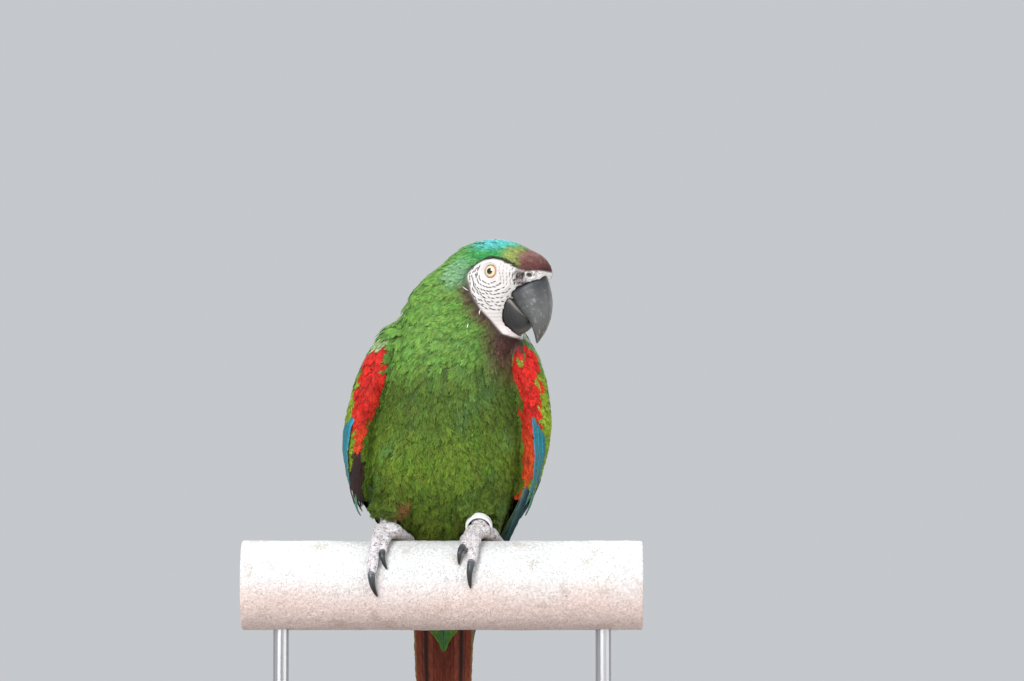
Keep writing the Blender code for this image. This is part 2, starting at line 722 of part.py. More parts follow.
def part_flesh(flesh):
    """Parts the flesh with thin cuts into head, neck, trunk and two thighs."""
    forward, up = HEAD_CUT
    head_plane = HEAD_FRAME @ Matrix.Translation((0, -forward, up)) @ Matrix.Rotation(HEAD_CUT_TILT, 4, "X")
    neck_plane = BODY_FRAME @ Matrix.Translation((0, 0, NECK_CUT))
    tail_plane = TAIL_FRAME @ Matrix.Translation((0, 0, GAP)) @ Matrix.Rotation(math.pi, 4, "X")
    clearance = Matrix.Translation((0, 0, -GAP))
    head, neck, trunk = (flesh_piece(name, flesh) for name in ("head", "neck", "trunk"))
    boolean(head, half_space("head_space", head_plane), "INTERSECT")
    boolean(neck, half_space("above_neck", head_plane @ clearance))
    boolean(neck, half_space("neck_space", neck_plane), "INTERSECT")
    boolean(trunk, half_space("above_trunk", neck_plane @ clearance))
    boolean(trunk, half_space("below_trunk", tail_plane))
    thighs = []
    for side, place in THIGHS.items():
        bm = bmesh.new()
        middle = Vector(place) + Vector(THIGH_CUT_SHIFT)
        add_ellipsoid(bm, FOOT_FRAME, middle, Vector(THIGH_RADII) + Vector(THIGH_CUT_MARGIN), segments=18)
        space = object_from(f"thigh_space_{side}", mesh_from("thigh_space", bm), cutter=True)
        thigh = flesh_piece(f"thigh_{side}", flesh)
        boolean(thigh, space, "INTERSECT")
        carve(trunk, [space])
        thighs.append(thigh)
    return head, neck, trunk, thighs


flesh = object_from("flesh", flesh_mesh(), cutter=True)
head, neck, trunk, thighs = part_flesh(flesh)
upper_bill = make_bill("upper_bill", UPPER_BILL_ROWS, horn_finish)
lower_bill = make_bill("lower_bill", LOWER_BILL_ROWS, horn_finish)
carve(lower_bill, [upper_bill])
for piece in (head, neck):
    carve(piece, [upper_bill, lower_bill])
body = grown(flesh, 2 * GAP, COARSE_TRIANGLES)
band = make_band(band_finish)
legs = []
for side, sign in (("left", 1), ("right", -1)):
    carve(head, [make_eye(side, sign)])
    make_wing(side, sign, body)
    foot = make_foot(side, foot_finish)
    carve(foot, [make_claw(side, toe, horn_finish) for toe in TOES[side]])
    if side == "left":
        carve(foot, [band])
    without_chips(foot)
    legs += [leg_space(side), toe_space(side, "1"), toe_space(side, "4")]
    for pair in range(TAIL_PAIRS):
        tail_feather(side, sign, pair, red_finish)
for name in COVERT_ROWS:
    tail_coverts(name, green_finish)
for piece in (trunk, *thighs):
    for leg in legs:
        boolean(piece, leg)
    carve(piece, [band])
perch = make_perch(perch_finish)
carve(trunk, [perch])
base = make_base(base_finish)
for side, sign in (("left", 1), ("right", -1)):
    rod = make_rod(side, sign, rod_finish)
    carve(perch, [rod])
    carve(base, [rod])
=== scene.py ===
"""Looks of a life-size chestnut-fronted macaw on a cut length of perch, around the CAD frame.

One skin stands for the flesh, with small feathers over it; wing and tail feathers are long single vanes.
Places are in millimetres in a local frame (body, head, tail or perch) until they are set in the world.
"""

import math

import bmesh
import bpy
import numpy as np
from mathutils import Matrix, Vector, noise
from mathutils.bvhtree import BVHTree
from mathutils.kdtree import KDTree

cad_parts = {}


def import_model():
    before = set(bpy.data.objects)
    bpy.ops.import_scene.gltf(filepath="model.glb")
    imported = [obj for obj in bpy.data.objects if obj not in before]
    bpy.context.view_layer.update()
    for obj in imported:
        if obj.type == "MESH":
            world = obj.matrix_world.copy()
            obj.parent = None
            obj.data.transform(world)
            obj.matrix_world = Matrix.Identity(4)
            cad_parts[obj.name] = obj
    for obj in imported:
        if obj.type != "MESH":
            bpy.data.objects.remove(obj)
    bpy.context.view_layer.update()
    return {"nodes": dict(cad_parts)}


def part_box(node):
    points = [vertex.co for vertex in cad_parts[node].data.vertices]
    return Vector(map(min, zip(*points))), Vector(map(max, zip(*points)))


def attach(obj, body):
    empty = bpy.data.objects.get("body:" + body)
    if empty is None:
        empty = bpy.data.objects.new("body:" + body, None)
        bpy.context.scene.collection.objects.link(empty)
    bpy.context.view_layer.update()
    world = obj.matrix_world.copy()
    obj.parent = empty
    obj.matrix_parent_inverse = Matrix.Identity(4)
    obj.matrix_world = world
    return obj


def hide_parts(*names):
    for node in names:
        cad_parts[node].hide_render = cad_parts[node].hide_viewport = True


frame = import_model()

MM = 0.001
rng = np.random.default_rng(7)
noise.seed_set(7)  # noise vectors would otherwise change from run to run

# Frames of the bird, as in the CAD model
PERCH_LOW, PERCH_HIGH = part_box("perch")
PERCH_RADIUS = (PERCH_HIGH.z - PERCH_LOW.z) / 2 / MM
PERCH_POINT = Vector((0, (PERCH_LOW.y + PERCH_HIGH.y) / 2, PERCH_HIGH.z))
PERCH_FRAME = Matrix.Translation(PERCH_POINT)
BODY_LEAN, TAIL_BEND, HEAD_TURN = math.radians(28), math.radians(12), math.radians(60)
BODY_PLACE, HEAD_PLACE = Vector((0, 60, -28)) * MM, Vector((35, -22, 154.5)) * MM
BODY_FRAME = PERCH_FRAME @ Matrix.Translation(BODY_PLACE) @ Matrix.Rotation(BODY_LEAN, 4, "X")
TAIL_FRAME = BODY_FRAME @ Matrix.Rotation(-TAIL_BEND, 4, "X")
HEAD_FRAME = PERCH_FRAME @ Matrix.Translation(HEAD_PLACE) @ Matrix.Rotation(HEAD_TURN, 4, "Z")
SIDES = (("left", 1), ("right", -1))

# Camera, in metres
VIEW_TARGET = Vector((0.0403, -0.014, 0.366))
VIEW_DISTANCE = 3.0
VIEW_WIDTH = 0.594  # of the frame at the target
VIEW_RISE = math.radians(5)  # how far the camera looks up
SENSOR = 36  # mm
FLOOR_RADIUS = 12


# ---------------------------------------------------------------- places and numbers


def local(place, points):
    """World points in a local frame, in millimetres."""
    matrix = np.array(place.inverted())
    return (np.asarray(points) @ matrix[:3, :3].T + matrix[:3, 3]) / MM


def world(place, points):
    """Local points (mm) in the world (m)."""
    matrix = np.array(place)
    return np.asarray(points, float) * MM @ matrix[:3, :3].T + matrix[:3, 3]


def turned(place, vectors):
    return np.asarray(vectors, float) @ np.array(place)[:3, :3].T


def unit(vectors):
    return vectors / np.maximum(np.linalg.norm(vectors, axis=-1, keepdims=True), 1e-9)


def across_from(vectors, normals):
    """The vectors with their part along the normals taken out, at unit length."""
    return unit(vectors - (vectors * normals).sum(-1, keepdims=True) * normals)


def ease(low, high, values):
    t = np.clip((np.asarray(values, float) - low) / (high - low), 0, 1)
    return t * t * (3 - 2 * t)


def mix(a, b, weight):
    weight = np.asarray(weight)[..., None]
    return np.asarray(a) * (1 - weight) + np.asarray(b) * weight


def smooth_rows(rows, steps):
    """Rows on a smooth curve through the given rows, with this many steps between each two."""
    rows = np.array(rows, float)
    padded = np.vstack([2 * rows[0] - rows[1], rows, 2 * rows[-1] - rows[-2]])
    made = []
    for a, b, c, d in zip(padded, padded[1:], padded[2:], padded[3:]):
        for t in np.arange(steps) / steps:
            cubic = 2 * a - 5 * b + 4 * c - d + t * (3 * (b - c) + d - a)
            made.append(b + 0.5 * t * (c - a + t * cubic))
    made.append(rows[-1])
    return np.array(made)


def noise_at(points, scale, seed, kind=noise.noise):
    """Smooth noise from about -1 to 1; the scale is the size of its blobs in millimetres."""
    shift = Vector((seed * 7.3, seed * 3.1, seed * 5.7))
    return np.array([kind(Vector(p) / (scale * MM) + shift) for p in points])


# ---------------------------------------------------------------- meshes


def array_mesh(name, points, faces):
    """A mesh from arrays of points and of faces with equally many corners."""
    mesh = bpy.data.meshes.new(name)
    points, faces = np.asarray(points, np.float32), np.asarray(faces, np.int32)
    mesh.vertices.add(len(points))
    mesh.vertices.foreach_set("co", points.ravel())
    mesh.loops.add(faces.size)
    mesh.loops.foreach_set("vertex_index", faces.ravel())
    mesh.polygons.add(len(faces))
    mesh.polygons.foreach_set("loop_start", np.arange(0, faces.size, faces.shape[1], dtype=np.int32))
    mesh.update(calc_edges=True)
    mesh.shade_smooth()
    return mesh


def set_colours(mesh, colours):
    """Gives the mesh its broad colours, which its material reads as Tint."""
    rgba = np.ones((len(mesh.vertices), 4), np.float32)
    rgba[:, :3] = np.clip(colours, 0, 1)
    mesh.attributes.new("Tint", "FLOAT_COLOR", "POINT").data.foreach_set("color", rgba.ravel())


def set_vectors(mesh, name, values):
    layer = mesh.attributes.new(name, "FLOAT_VECTOR", "POINT")
    layer.data.foreach_set("vector", np.asarray(values, np.float32).ravel())


def set_uv(mesh, uv):
    """Writes the map that a bake uses, from one place for each point."""
    corners = np.empty(len(mesh.loops), np.int32)
    mesh.loops.foreach_get("vertex_index", corners)
    mesh.uv_layers.new(name="OFBake").data.foreach_set("uv", np.asarray(uv, np.float32)[corners].ravel())


def read_vectors(items, field):
    flat = np.empty(len(items) * 3, np.float32)
    items.foreach_get(field, flat)
    return flat.reshape(-1, 3).astype(float)


def points_of(mesh):
    return read_vectors(mesh.vertices, "co")


def normals_of(mesh):
    return read_vectors(mesh.vertex_normals, "vector")


def move_points(mesh, points):
    mesh.vertices.foreach_set("co", points.astype(np.float32).ravel())
    mesh.update()
    mesh.shade_smooth()


def mesh_of(bm, name):
    """The bmesh as a smooth mesh."""
    mesh = bpy.data.meshes.new(name)
    bm.to_mesh(mesh)
    bm.free()
    mesh.shade_smooth()
    return mesh


def add_object(name, data):
    obj = bpy.data.objects.new(name, data)
    bpy.context.scene.collection.objects.link(obj)
    return obj


def piece(name, mesh, finish, nodes=()):
    """Adds a still piece of the model, which stands for the named CAD nodes."""
    mesh.materials.append(finish)
    obj = add_object(name, mesh)
    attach(obj, "root")
    if nodes:
        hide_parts(*nodes)
    return obj


def grid_faces(rows, columns, closed=False):
    """Quads of a grid of points, with the columns joined into a ring if closed."""
    row, column = np.meshgrid(np.arange(rows - 1), np.arange(columns - 1 + closed), indexing="ij")
    here, beside = row * columns + column, row * columns + (column + 1) % columns
    return np.stack([here, beside, beside + columns, here + columns], -1).reshape(-1, 4)


def loft(name, rings):
    """A smooth closed mesh through rings of points, with a flat face over each end."""
    rings = np.asarray(rings, float)
    rows, columns, _ = rings.shape
    points, quads = rings.reshape(-1, 3), grid_faces(rows, columns, closed=True)
    bm = bmesh.new()
    verts = [bm.verts.new(p) for p in points]
    for quad in quads:
        bm.faces.new([verts[i] for i in quad])
    bm.faces.new(verts[:columns][::-1])
    bm.faces.new(verts[-columns:])
    bmesh.ops.recalc_face_normals(bm, faces=bm.faces)
    return mesh_of(bm, name)


def joined(meshes):
    """One bmesh with all the meshes' faces."""
    bm = bmesh.new()
    for mesh in meshes:
        bm.from_mesh(mesh)
    return bm


def blended(bm, voxel, smoothing):
    """One smooth closed mesh from overlapping bodies."""
    obj = add_object("blend", mesh_of(bm, "blend"))
    remesh = obj.modifiers.new("Blend", "REMESH")
    remesh.mode = "VOXEL"
    remesh.voxel_size = voxel * MM
    soften = obj.modifiers.new("Soften", "SMOOTH")
    soften.factor = 0.5
    soften.iterations = smoothing
    bpy.context.view_layer.update()
    made = bpy.data.meshes.new_from_object(obj.evaluated_get(bpy.context.evaluated_depsgraph_get()))
    bpy.data.objects.remove(obj, do_unlink=True)
    made.materials.clear()
    return made


# ---------------------------------------------------------------- materials


class Nodes:
    """Short names for the shader nodes of one material."""

    def __init__(self, name, roughness=0.5, **constants):
        self.material = bpy.data.materials.new(name)
        self.material.use_nodes = True
        self.tree = self.material.node_tree
        self.shader = self.tree.nodes["Principled BSDF"]
        self.shader.inputs["Roughness"].default_value = roughness
        for socket, value in constants.items():
            self.shader.inputs[socket.replace("_", " ")].default_value = value

    def add(self, kind, **settings):
        node = self.tree.nodes.new(kind)
        for key, value in settings.items():
            setattr(node, key, value)
        return node

    def link(self, output, target):
        self.tree.links.new(output, target)

    def attribute(self, name):
        return self.add("ShaderNodeAttribute", attribute_name=name)

    def noise(self, scale, detail=4, stretch=(1, 1, 1), roughness=0.6, where=None):
        """Noise in object space; the scale counts blobs for each metre."""
        made = self.add("ShaderNodeTexNoise")
        made.inputs["Scale"].default_value = scale
        made.inputs["Detail"].default_value = detail
        made.inputs["Roughness"].default_value = roughness
        place = self.add("ShaderNodeMapping")
        place.inputs["Scale"].default_value = stretch
        self.link(where or self.add("ShaderNodeTexCoord").outputs["Object"], place.inputs["Vector"])
        self.link(place.outputs["Vector"], made.inputs["Vector"])
        return made.outputs["Fac"]

    def cells(self, scale):
        """Distance to the middle of the nearest cell; the scale counts cells for each metre."""
        made = self.add("ShaderNodeTexVoronoi")
        made.inputs["Scale"].default_value = scale
        self.link(self.add("ShaderNodeTexCoord").outputs["Object"], made.inputs["Vector"])
        return made.outputs["Distance"]

    def tint(self):
        """The colour that the mesh holds."""
        return self.attribute("Tint").outputs["Color"]

    def ramp(self, value, *stops):
        """Colours along a value: each stop is a place and a colour or a grey."""
        made = self.add("ShaderNodeValToRGB")
        ramp = made.color_ramp
        while len(ramp.elements) < len(stops):
            ramp.elements.new(1)
        for element, (position, colour) in zip(ramp.elements, stops):
            element.position = position
            element.color = (*colour, 1) if isinstance(colour, tuple) else (colour, colour, colour, 1)
        self.link(value, made.inputs["Fac"])
        return made.outputs["Color"]

    def fill(self, socket, value):
        if isinstance(value, (int, float)):
            socket.default_value = value
        else:
            self.link(value, socket)

    def blend(self, a, b, factor, mode="MIX"):
        made = self.add("ShaderNodeMix", data_type="RGBA", blend_type=mode)
        for value, number in ((factor, 0), (a, 6), (b, 7)):
            self.fill(made.inputs[number], value)
        return made.outputs[2]

    def multiply(self, colour, *tones):
        """The colour times each of the tones."""
        for tone in tones:
            colour = self.blend(colour, tone, 1.0, "MULTIPLY")
        return colour

    def math(self, operation, a, b=0.0, c=0.0):
        made = self.add("ShaderNodeMath", operation=operation)
        for value, socket in zip((a, b, c), made.inputs):
            self.fill(socket, value)
        return made.outputs[0]

    def finish(self, colour=None, roughness=None, height=None, depth=0.1, strength=1.0):
        """Links colour, roughness and bump; the depth is in millimetres."""
        if colour is not None:
            self.link(colour, self.shader.inputs["Base Color"])
        if roughness is not None:
            self.link(roughness, self.shader.inputs["Roughness"])
        if height is not None:
            bump = self.add("ShaderNodeBump")
            bump.inputs["Distance"].default_value = depth * MM
            bump.inputs["Strength"].default_value = strength
            self.link(height, bump.inputs["Height"])
            self.link(bump.outputs["Normal"], self.shader.inputs["Normal"])
        return self.material


def barb_height(m, spacing, slant):
    """Fine ridges of a vane from its own coordinates: along, across (mm)."""
    split = m.add("ShaderNodeSeparateXYZ")
    m.link(m.attribute("Vane").outputs["Vector"], split.inputs[0])
    side = m.math("ABSOLUTE", split.outputs["Y"])
    run = m.math("MULTIPLY_ADD", side, -slant, split.outputs["X"])
    return m.math("SINE", m.math("MULTIPLY", run, 2 * math.pi / spacing))


def make_plumage(name, roughness, spacing, slant):
    m = Nodes(name, roughness, Specular_IOR_Level=0.18, Sheen_Weight=0.05, Sheen_Roughness=0.4)
    ridges = barb_height(m, spacing, slant)
    fine = m.ramp(ridges, (0.0, 0.82), (1.0, 1.0))
    blotches = m.ramp(m.noise(900, 3), (0.3, 0.86), (0.7, 1.12))
    return m.finish(m.multiply(m.tint(), fine, blotches), height=ridges, depth=0.05, strength=0.6)


def make_skin_finish():
    m = Nodes("bare_skin", 0.55, Subsurface_Weight=0.12, Subsurface_Scale=0.002, Specular_IOR_Level=0.35)
    m.shader.inputs["Subsurface Radius"].default_value = (1.0, 0.45, 0.35)
    pores = m.noise(2600, 5)
    colour = m.multiply(m.tint(), m.ramp(pores, (0.3, 0.88), (0.7, 1.06)))
    return m.finish(colour, height=pores, depth=0.12, strength=0.7)


def make_horn(name, roughness=0.36):
    """Dark horn with growth lines; the piece's Tint holds its broad colour, Grow runs base to tip."""
    m = Nodes(name, roughness, Specular_IOR_Level=0.45, Coat_Weight=0.12, Coat_Roughness=0.3)
    along = m.attribute("Grow").outputs["Vector"]
    streaks = m.noise(1.0, 6, stretch=(3.0, 46.0, 46.0), where=along, roughness=0.7)
    bands = m.noise(1.0, 4, stretch=(34.0, 2.5, 2.5), where=along)
    speckle = m.noise(1500, 6)
    lines = m.ramp(streaks, (0.3, 0.72), (0.5, 1.0), (0.74, 1.7))
    colour = m.blend(m.tint(), lines, 0.8, "MULTIPLY")
    colour = m.blend(colour, m.ramp(bands, (0.35, 0.85), (0.65, 1.25)), 0.35, "MULTIPLY")
    rough = m.ramp(m.blend(streaks, speckle, 0.5), (0.3, roughness - 0.08), (0.7, roughness + 0.2))
    height = m.math("ADD", m.math("MULTIPLY", streaks, 0.8), m.math("MULTIPLY", speckle, 0.5))
    return m.finish(colour, rough, height, depth=0.12, strength=0.6)


def make_scaly():
    m = Nodes("foot_scales", 0.6, Specular_IOR_Level=0.35, Subsurface_Weight=0.05)
    m.shader.inputs["Subsurface Scale"].default_value = 0.001
    dust = m.ramp(m.noise(3200, 5), (0.32, 0.78), (0.68, 1.1))
    return m.finish(m.multiply(m.tint(), dust), height=m.noise(2500, 5), depth=0.08, strength=0.6)


def make_eye_finish():
    m = Nodes("eye_wet", 0.06, Specular_IOR_Level=0.6, Coat_Weight=1.0, Coat_Roughness=0.02)
    return m.finish(m.multiply(m.tint(), m.ramp(m.noise(4000, 3), (0.3, 0.9), (0.7, 1.08))))


def make_cement():
    m = Nodes("sandy_cement", 0.9, Specular_IOR_Level=0.25)
    sand = m.noise(2400, 8, roughness=0.8)
    grains = m.cells(1500)
    stains = m.ramp(m.noise(38, 8, roughness=0.7), (0.42, 1.0), (0.62, 0.93), (0.8, 0.8))
    specks = m.ramp(m.cells(620), (0.0, 0.30), (0.16, 0.55), (0.26, 1.0))
    chosen = m.ramp(m.noise(160, 3), (0.44, 0.0), (0.52, 1.0))
    coarse = m.ramp(m.noise(700, 4), (0.36, 0.80), (0.62, 1.08))
    colour = m.multiply(m.tint(), m.ramp(sand, (0.38, 0.62), (0.62, 1.14)), coarse, stains)
    colour = m.blend(colour, m.multiply(colour, specks), chosen)
    height = m.math("ADD", m.math("MULTIPLY", sand, 1.4), grains)
    return m.finish(colour, height=height, depth=0.35, strength=0.9)


def make_wood():
    m = Nodes("stained_wood", 0.42, Specular_IOR_Level=0.4, Coat_Weight=0.2, Coat_Roughness=0.25)
    grain = m.noise(1.0, 8, stretch=(14, 210, 210), roughness=0.7)
    pores = m.noise(1.0, 3, stretch=(60, 1500, 1500))
    dark, middle, pale = (0.035, 0.018, 0.010), (0.085, 0.042, 0.022), (0.14, 0.075, 0.04)
    colour = m.ramp(grain, (0.3, dark), (0.55, middle), (0.75, pale))
    colour = m.multiply(colour, m.ramp(pores, (0.36, 0.45), (0.46, 1.0)))
    return m.finish(colour, m.ramp(grain, (0.3, 0.5), (0.7, 0.36)), pores, depth=0.08, strength=0.5)


def make_metal(name, colour, roughness, stretch, metallic=1.0):
    m = Nodes(name, roughness, Metallic=metallic)
    lines = m.noise(1.0, 6, stretch=stretch, roughness=0.7)
    low, high = tuple(0.86 * c for c in colour), tuple(min(1, 1.06 * c) for c in colour)
    tone = m.ramp(lines, (0.3, low), (0.7, high))
    rough = m.ramp(lines, (0.3, roughness - 0.06), (0.7, roughness + 0.12))
    return m.finish(tone, rough, lines, depth=0.02, strength=0.5)


def make_floor_finish():
    m = Nodes("pale_floor", 0.75, Specular_IOR_Level=0.2)
    tone = m.ramp(m.noise(6, 5), (0.3, (0.50, 0.50, 0.495)), (0.7, (0.53, 0.53, 0.525)))
    return m.finish(tone, height=m.noise(400, 4), depth=0.1, strength=0.2)


# ---------------------------------------------------------------- markings and painted light and shade, shared by skin and coat

GREEN = (0.098, 0.165, 0.016)
BREAST_GREEN = (0.073, 0.130, 0.019)
NECK_GREEN = (0.122, 0.262, 0.048)
OLIVE = (0.140, 0.170, 0.016)
MOSS = (0.070, 0.210, 0.080)
CROWN_GREEN = (0.042, 0.295, 0.080)
CROWN_BLUE = (0.110, 0.530, 0.550)
BROW_GREEN = (0.260, 0.330, 0.090)
CHESTNUT = (0.240, 0.118, 0.110)
DARK_CHESTNUT = (0.120, 0.036, 0.034)
BROWN = (0.105, 0.045, 0.038)
# painted shadow: the thin dark line under the feathers' edge along the top of the bare face
FEATHER_EDGE_SHADOW = (0.020, 0.020, 0.015)
EAR_TINT = (0.180, 0.370, 0.210)
DARK_EDGE = (0.16, 0.12, 0.11)
WHITE_SKIN = (0.635, 0.605, 0.59)
PINK_SKIN = (0.72, 0.60, 0.57)
CERE = (0.80, 0.76, 0.74)
LORES = (0.30, 0.235, 0.235)
RED = (0.560, 0.014, 0.013)
SCARLET = (0.620, 0.075, 0.018)
DARK_BROWN = (0.045, 0.030, 0.018)
YELLOW_GREEN = (0.300, 0.400, 0.020)
WING_GREEN = (0.115, 0.235, 0.025)
WING_SHADE = (0.100, 0.250, 0.070)
BEND_GREEN = (0.380, 0.500, 0.270)
RUST = (0.340, 0.090, 0.020)

# Outline of the bare white face, seen from the side: forward and up from the eye (mm)
FACE_OUTLINE = (
    (24, -2.0),
    (18.7, -0.8),
    (13, 2.6),
    (7.6, 4.8),
    (1.2, 5.9),
    (-3.2, 5.1),
    (-8.0, 2.2),
    (-11.5, -2.4),
    (-11.2, -6),
    (-10.0, -9),
    (-8.5, -14.7),
    (-5.8, -20.5),
    (-3.6, -24.6),
    (0.3, -29.8),
    (3.2, -35.0),
    (6.4, -38.6),
    (14, -40.5),
    (22, -34),
    (30, -20),
    (33, -10),
    (31.5, -2.6),
)


def closed_curve(points, steps=5):
    """A smooth closed curve through the points."""
    curve = smooth_rows(np.vstack([points[-2:], points, points[:2]]), steps)
    return curve[2 * steps : -(steps + 1)]


FACE_EDGE = closed_curve(FACE_OUTLINE)


def face_distance(forward, up):
    """Distance of side-view places to the edge of the bare face, below zero inside it."""
    start, end = FACE_EDGE, np.roll(FACE_EDGE, -1, 0)
    run = end - start
    x, y = forward[:, None], up[:, None]
    away = np.stack([x, y], -1) - start
    t = np.clip((away * run).sum(-1) / np.maximum((run * run).sum(-1), 1e-9), 0, 1)
    gap = np.linalg.norm(away - t[..., None] * run, axis=-1).min(1)
    crosses = (start[:, 1] > y) != (end[:, 1] > y)
    slope = run[:, 0] / np.where(run[:, 1] == 0, 1e-9, run[:, 1])
    inside = (crosses & (x < start[:, 0] + (y - start[:, 1]) * slope)).sum(1) % 2 == 1
    return np.where(inside, -gap, gap)


def head_view(points):
    """Forward, up and sideways places of world points from the point between the eyes (mm)."""
    near = local(HEAD_FRAME, points)
    return -near[:, 1], near[:, 2], near[:, 0]


def plumage(points, on_wing, on_head):
    """Colour of the plumage at each point, by its place on the body, the wings and the head."""
    side, dorsal, height = local(BODY_FRAME, points).T
    forward, up, _ = head_view(points)
    blotch = noise_at(points, 22, 1)
    colour = mix(GREEN, BREAST_GREEN, ease(90, 150, height))
    colour = mix(colour, NECK_GREEN, ease(140, 185, height) * ease(35, -20, dorsal))
    colour = mix(colour, OLIVE, ease(75, 20, height) * 0.75 + 0.25 * ease(0, 0.6, blotch))
    colour = mix(colour, MOSS, 0.25 * ease(0.15, 0.6, noise_at(points, 16, 4)))
    # Painted light brightens the middle of the belly's front, and painted shade darkens its lower part
    belly_painted_light = 0.28 * np.exp(-(((height - 97) / 15) ** 2)) - 0.16 * ease(84, 68, height)
    colour = colour * (1 + belly_painted_light * ease(-5, -25, dorsal))[:, None]
    rusty = ease(11, 4, np.hypot(side + 20, height - 30)) * ease(0, -20, dorsal)
    colour = mix(colour, RUST, 0.8 * rusty)

    front = ease(-8, -13, dorsal)
    wing = mix(WING_GREEN, BEND_GREEN, ease(148, 162, height) * np.where(side > 0, 0.30, 1.0))
    wing = mix(mix(wing, WING_SHADE, 0.6 * ease(0, 0.5, blotch)), YELLOW_GREEN, 0.65 * front)
    colour = np.where(on_wing[:, None], wing, colour)

    behind = np.hypot(forward + 2, up - 16)
    head = mix(NECK_GREEN, CROWN_GREEN, ease(-34, -4, forward) * ease(-6, 8, up))
    head = mix(head, CROWN_BLUE, ease(20, 5, behind) * ease(8, 16, up))
    head = mix(head, EAR_TINT, 0.8 * ease(13, 5, np.hypot(forward + 19, up + 3)))
    head = mix(head, BROW_GREEN, ease(4, 10, forward) * ease(16, 9, up))
    strands = 2.4 * noise_at(points, 2.2, 13)
    chestnut = mix(CHESTNUT, DARK_CHESTNUT, 0.8 * ease(7.5, 1.5, up + 1.5 * strands))
    head = mix(head, chestnut, ease(13.5, 20.5, forward + 0.05 * up + strands))
    edge = face_distance(forward, up)
    rim = ease(9.5, 3.5, edge + 2.2 * noise_at(points, 3, 17)) * ease(-5, -13, up)
    chin = ease(-33, -39, up) * ease(-8, 2, forward)
    head = mix(head, BROWN, np.clip(np.maximum(rim, chin), 0, 1))
    # Painted shadow: a thin near-black line where the feathers' edge overhangs the top of the bare face
    head = mix(head, FEATHER_EDGE_SHADOW, 0.9 * ease(1.3, 0.4, edge) * ease(-4, 1, up) * ease(20, 15, forward))
    return mix(colour, head, on_head)


def bare_colour(forward, up):
    """Colour of the bare face, cere and lores, with painted shade in the nostril openings."""
    colour = mix(WHITE_SKIN, PINK_SKIN, ease(-22, -34, up) * 0.5)
    lores = ease(5.6, 1.5, np.hypot((forward - 18.8) / 0.85, (up + 5.6) / 1.25))
    colour = mix(colour, LORES, 0.8 * lores)
    colour = mix(colour, CERE, ease(21, 26, forward) * ease(-14, -9, up))
    # Painted shade: the nostril's opening painted nearly black
    nostril_shade = ease(1.7, 1.0, np.hypot(forward - NOSTRIL[0], up - NOSTRIL[1]))
    colour = mix(colour, (0.03, 0.02, 0.02), 0.9 * nostril_shade)
    return mix(colour, DARK_EDGE, ease(-0.6, 0.4, face_distance(forward, up)))


# ---------------------------------------------------------------- skin

WINGS = ("wing_left", "wing_right")
BODY = ("head", "neck", "trunk", "thigh_left", "thigh_right")
EYE_SIDE, EYE_FORWARD, EYE_UP, EYE_RADIUS, LID_RADIUS = 13.9, 2.0, -2.0, 5.2, 3.95
NOSTRIL = (23.9, -4.6)  # forward and up
SWELL = 0.35  # grown on every flesh solid so that they blend across the cuts between them
BODY_COAT, HEAD_COAT, WING_COAT, BARE_DEPTH = 1.7, 1.1, 0.95, 0.35  # depths of the skin in the CAD flesh


class Surface:
    """A surface to lay things on: its nearest point and smooth normal for many points at once."""

    def __init__(self, mesh):
        polygons = [tuple(p.vertices) for p in mesh.polygons]
        normals = normals_of(mesh)
        self.mesh = mesh
        self.tree = BVHTree.FromPolygons(points_of(mesh).tolist(), polygons)
        self.normals = unit(np.array([normals[list(p)].mean(0) for p in polygons]))

    def nearest(self, points):
        found = [self.tree.find_nearest(p) for p in np.asarray(points).tolist()]
        return np.array([f[0] for f in found]), self.normals[[f[2] for f in found]]

    def distance(self, points):
        return np.array([self.tree.find_nearest(p)[3] for p in np.asarray(points).tolist()]) / MM


def node_surface(names):
    return Surface(mesh_of(joined([frame["nodes"][name].data for name in names]), "guide"))


def regions(points):
    """Whether each point is on a wing, and how far it counts as head."""
    on_wing = WING_GUIDE.distance(points) < BODY_GUIDE.distance(points)
    _, up, _ = head_view(points)
    return on_wing, ease(-62, -40, up) * ~on_wing


def eye_place(sign):
    return Matrix.Translation(Vector((sign * EYE_SIDE, -EYE_FORWARD, EYE_UP)) * MM)


def eye_mound(distance, skin):
    """How far out the skin lies round the eye: a margin on the eyeball, then folds that die out."""
    ball = EYE_SIDE + math.sqrt(EYE_RADIUS**2 - LID_RADIUS**2)
    folds = 0.13 * np.sin(2 * math.pi * (distance - LID_RADIUS) / 1.15) * ease(8.6, 6.0, distance)
    lid = ball + 0.35 + 0.75 * ease(LID_RADIUS, 5.4, distance) + folds
    lid = np.where(distance < LID_RADIUS - 0.05, ball - 1.3, lid)
    return lid + (skin - lid) * ease(5.2, 9.5, distance)


